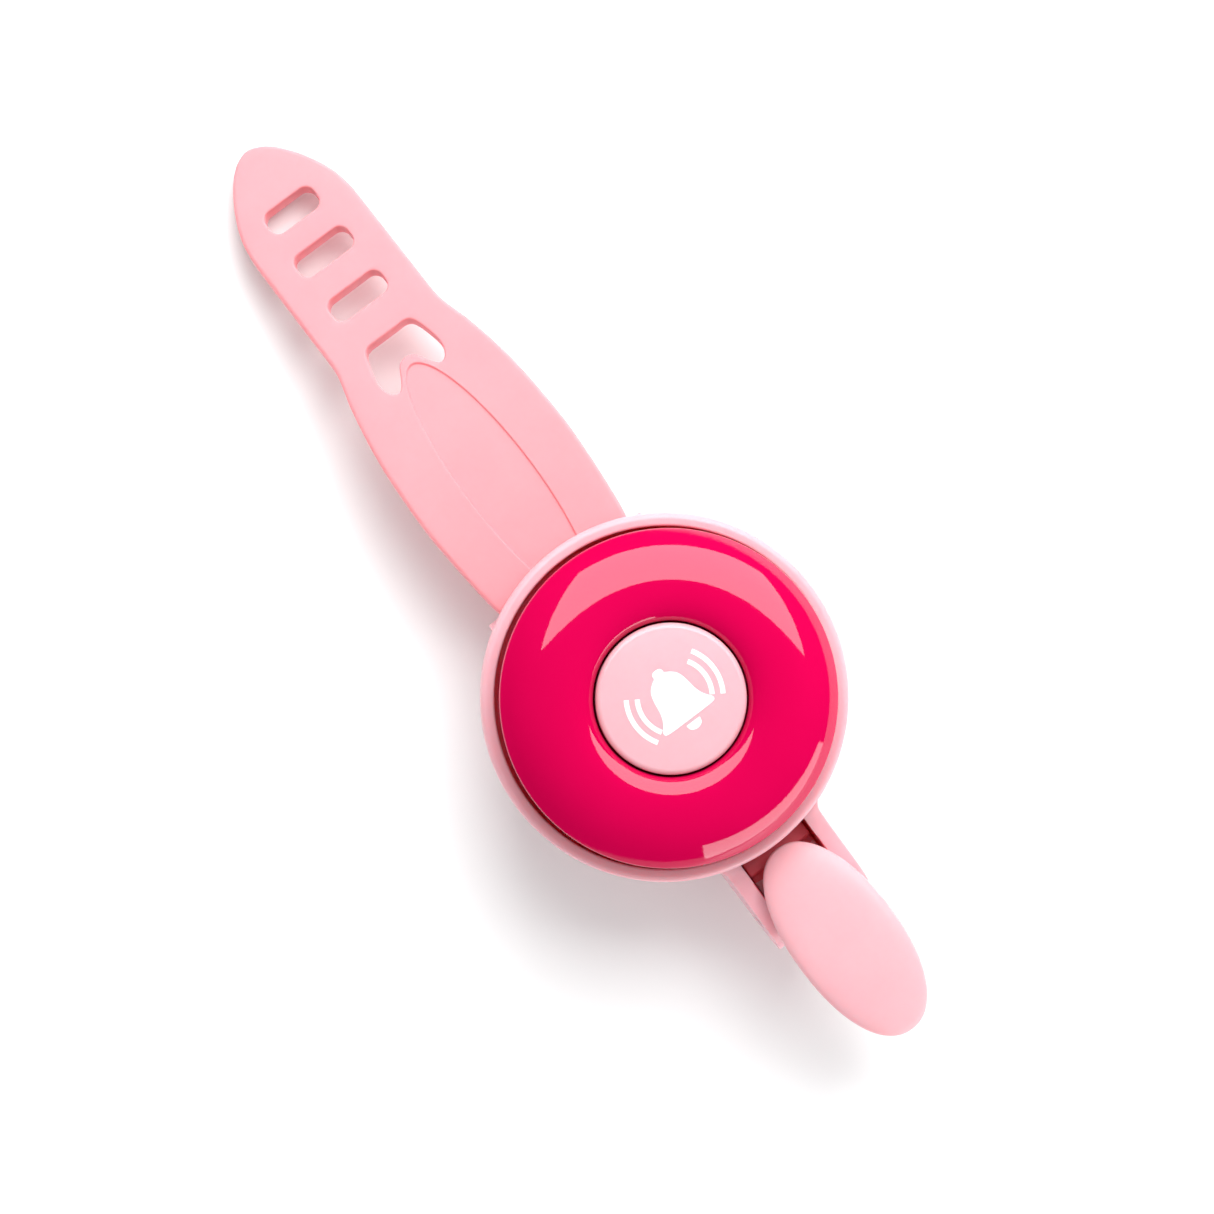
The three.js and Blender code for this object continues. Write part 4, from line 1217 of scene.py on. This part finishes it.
leverSpring = makeSpring(coil)
finishPiece(leverSpring, "base", springSteel, ["return_spring"], 60)
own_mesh(leverSpring)

# the rubber block under the lever's arm
bumper = {"plan": (11.6, 15.4, -2.6, 2.6), "corner": 0.8, "lowZ": 1.0, "topZ": 2.15, "rim": 0.25}
bumperBlock = prism("rest_bumper", roundedRect(*bumper["plan"], bumper["corner"], 6), bumper["lowZ"],
                    bumper["topZ"], bumper["rim"])
finishPiece(bumperBlock, "base", ringRubber, ["lever_bumper"], 40)
print("spring and bumper made")

# strap

strap = {
    "startX": -18.0, "length": 66.1, "arc": 34.0, "thickness": 2.9, "wide": 10.75, "narrow": 7.65,
    "slots": [56.5, 49.9, 42.9], "slotLength": 3.3, "slotHalves": [3.55, 3.9, 3.9], "slotCorner": 1.25,
    "windowFar": 37.0, "reliefS": 14.5, "reliefLength": 17.5, "reliefHalf": 4.35, "reliefDepth": 0.3,
    "topRound": 0.5, "underRound": 0.45, "slotRound": 0.24, "slotUnderRound": 0.25, "eye": 2.6,
    "eyeHalf": 9.45, "lowestZ": -7.94, "pointGap": 1.15,
}
# the step into the shallow relief: how far inside its line, and what part of its depth
reliefStep = ((-0.1, 0), (-0.03, 0.25), (0.03, 0.75), (0.1, 1.0))
strap["middleZ"] = cup["strapPin"][1] + strap["eye"] - strap["thickness"] / 2


def strapPoint(s, droop):
    radius = strap["arc"] / droop
    bent = min(max(s, 0), strap["arc"])
    at = bent / radius
    rest = s - bent
    x = strap["startX"] - radius * math.sin(at) - rest * math.cos(at)
    z = strap["middleZ"] - radius * (1 - math.cos(at)) - rest * math.sin(at)
    return x, z, at


def findDroop():
    low, high = 0.01, 0.8
    for _ in range(40):
        guess = (low + high) / 2
        x, z, at = strapPoint(strap["length"], guess)
        if z - strap["thickness"] / 2 * math.cos(at) > strap["lowestZ"]:
            low = guess
        else:
            high = guess
    return low


def smoothStep(a, b, c, d, t):
    # a value between b and c on a smooth line through all four
    return 0.5 * (2 * b + (c - a) * t + (2 * a - 5 * b + 4 * c - d) * t * t
                  + (3 * b - a - 3 * c + d) * t ** 3)


def throughPoints(points, steps):
    # a smooth line through the points
    line = []
    for k in range(len(points) - 1):
        p0 = points[max(0, k - 1)]
        p1, p2 = points[k], points[k + 1]
        p3 = points[min(len(points) - 1, k + 2)]
        for j in range(steps):
            t = j / steps
            line.append(tuple(smoothStep(a, b, c, d, t) for a, b, c, d in zip(p0, p1, p2, p3)))
    line.append(points[-1])
    return line


def evenLoop(loop, spacing):
    # the same loop with its points evenly spaced
    total = sum(math.dist(a, b) for a, b in zip(loop, loop[1:] + loop[:1]))
    count = max(12, round(total / spacing))
    result, walked, target = [], 0.0, 0.0
    for a, b in zip(loop, loop[1:] + loop[:1]):
        size = math.dist(a, b)
        while target <= walked + size - 1e-9 and len(result) < count:
            t = (target - walked) / size if size else 0
            result.append((a[0] + (b[0] - a[0]) * t, a[1] + (b[1] - a[1]) * t))
            target += total / count
        walked += size
    return result


def strapOutline(s):
    wide, narrow, end = s["wide"], s["narrow"], s["length"]
    edge = [(-1.6, wide * 0.872), (1.0, wide * 0.885), (3.2, wide * 0.92), (6.0, wide * 0.948),
            (10.0, wide * 0.979), (15.0, wide), (20.0, wide * 0.986), (24.2, wide * 0.959),
            (28.2, wide * 0.909), (32.3, wide * 0.834), (35.4, narrow * 1.06), (37.6, narrow * 1.01),
            (43.0, narrow * 1.004), (end - 12.8, narrow * 0.995), (end - 10.7, narrow * 0.976),
            (end - 8.6, narrow * 0.923), (end - 6.4, narrow * 0.81), (end - 4.2, narrow * 0.655),
            (end - 2.1, narrow * 0.455), (end - 0.85, narrow * 0.28), (end - 0.2, narrow * 0.12), (end, 0)]
    line = throughPoints(edge, 8)
    return line + [(a, -b) for a, b in line[:-1]][::-1]


def windowLoop(s):
    far = s["windowFar"]
    half = [(far, 0), (far, 1.5), (far, 2.6), (far - 0.35, 3.35), (far - 1.2, 3.8), (far - 2.6, 4.2),
            (far - 4.4, 4.52), (far - 5.6, 4.4), (far - 6.5, 3.95), (far - 6.9, 3.3), (far - 6.6, 2.7),
            (far - 5.6, 2.0), (far - 4.4, 1.3), (far - 3.9, 0.7), (far - 3.75, 0)]
    line = throughPoints(half, 6)
    return line + [(a, -b) for a, b in line[1:-1]][::-1]


def makeStrap(s):
    half = s["thickness"] / 2
    outline = evenLoop(strapOutline(s), 0.55)
    holes = [evenLoop(windowLoop(s), 0.35)]
    for at, reach in zip(s["slots"], s["slotHalves"]):
        holes.append(evenLoop(roundedRect(at - s["slotLength"] / 2, at + s["slotLength"] / 2, -reach, reach,
                                          s["slotCorner"]), 0.3))
    relief = []
    for k in range(180):
        at = 2 * math.pi * k / 180
        along = s["reliefS"] + s["reliefLength"] * math.cos(at)
        relief.append((max(0.6, along), s["reliefHalf"] * math.sin(at)))
    relief = evenLoop(relief, 0.4)
    points, heights, edges = [], [], []

    def addLoop(loop, height):
        first = len(points)
        points.extend(loop)
        heights.extend([height] * len(loop))
        edges.extend((first + k, first + (k + 1) % len(loop)) for k in range(len(loop)))
        return first

    def surface(topSide):
        points.clear()
        heights.clear()
        edges.clear()
        outerRound = s["topRound"] if topSide else s["underRound"]
        holeRound = s["slotRound"] if topSide else s["slotUnderRound"]
        rims = []
        for index, loop in enumerate([outline] + holes):
            r = outerRound if index == 0 else holeRound
            steps = 5 if index == 0 else 4
            for k in range(steps + 1):
                at = math.pi / 2 * k / steps
                shift = r * (1 - math.cos(at))
                moved = loop if k == 0 else inset(loop, shift if index == 0 else -shift)
                first = addLoop(moved, half - r * (1 - math.sin(at)))
                if k == 0:
                    rims.append((first, len(loop)))
        blocked = [inset(outline, outerRound + 0.25)] + [inset(h, -holeRound - 0.25) for h in holes]
        if topSide:
            for shift, depth in reliefStep:
                addLoop(inset(relief, shift), half - s["reliefDepth"] * depth)
        rows = s["pointGap"]
        a = -1.0
        while a < s["length"]:
            b = -11.5
            while b < 11.5:
                p = (a, b + (0.5 * rows if round((a + 1) / rows) % 2 else 0))
                free = insideLoop(p, blocked[0]) and not any(insideLoop(p, h) for h in blocked[1:])
                if free and not (topSide and nearLoop(p, relief, 0.45)):
                    points.append(p)
                    heights.append(half - s["reliefDepth"] if topSide and insideLoop(p, relief) else half)
                b += rows
            a += rows
        found = geometry.delaunay_2d_cdt([Vector(p) for p in points], edges, [], 0, 1e-7)
        flat, tris, origins = found[0], found[2], found[3]
        level = [heights[group[0]] if group else half for group in origins]
        where = {g: k for k, group in enumerate(origins) for g in group}
        keep = trisInside(flat, tris, outline, holes)
        rimRows = [[where[first + k] for k in range(count)] for first, count in rims]
        return [(p.x, p.y) for p in flat], level, keep, rimRows

    topFlat, topLevel, topTris, topRims = surface(True)
    underFlat, underLevel, underTris, underRims = surface(False)
    shape = [(p[0], p[1], h) for p, h in zip(topFlat, topLevel)]
    size = len(shape)
    shape += [(p[0], p[1], -h) for p, h in zip(underFlat, underLevel)]
    faces = topTris + [tuple(i + size for i in reversed(t)) for t in underTris]
    for topRow, underRow in zip(topRims, underRims):
        count = len(topRow)
        middle = len(shape)
        for i in topRow:
            shape.append((topFlat[i][0], topFlat[i][1], 0))
        for k in range(count):
            n = (k + 1) % count
            faces.append((topRow[k], topRow[n], middle + n, middle + k))
            faces.append((middle + k, middle + n, underRow[n] + size, underRow[k] + size))
    droop = findDroop()
    verts = []
    for a, b, h in shape:
        x, z, at = strapPoint(a, droop)
        verts.append((x - h * math.sin(at), -b, z + h * math.cos(at)))
    band = tidy(linkMesh("strap_band", verts, faces))
    sx, sz = cup["strapPin"]
    r = s["eye"]
    top = sz + r
    eye = [(-19.8, top), (sx, top)] + arc(sx, sz, r, 90, -118, 30)[1:]
    eye += [(-19.4, 2.5), (-20.2, top - s["thickness"])]
    tube = prism("eye", eye, -s["eyeHalf"], s["eyeHalf"], 0.35, 4, "XZ")
    # only the outer part of the band is kept, where the eye's tangent begins
    cutShape(band, "root_cut", [(-17.2, -3), (-12, -3), (-12, 9), (-17.2, 9)], -14, 14)
    combine(band, tube)
    cutBore(band, cup["strapBore"], -14, 14, (sx, sz), "Y", 48)
    return band


strapBand = makeStrap(strap)
finishPiece(strapBand, "strap", strapPink, ["strap"], 34)
print("strap made")
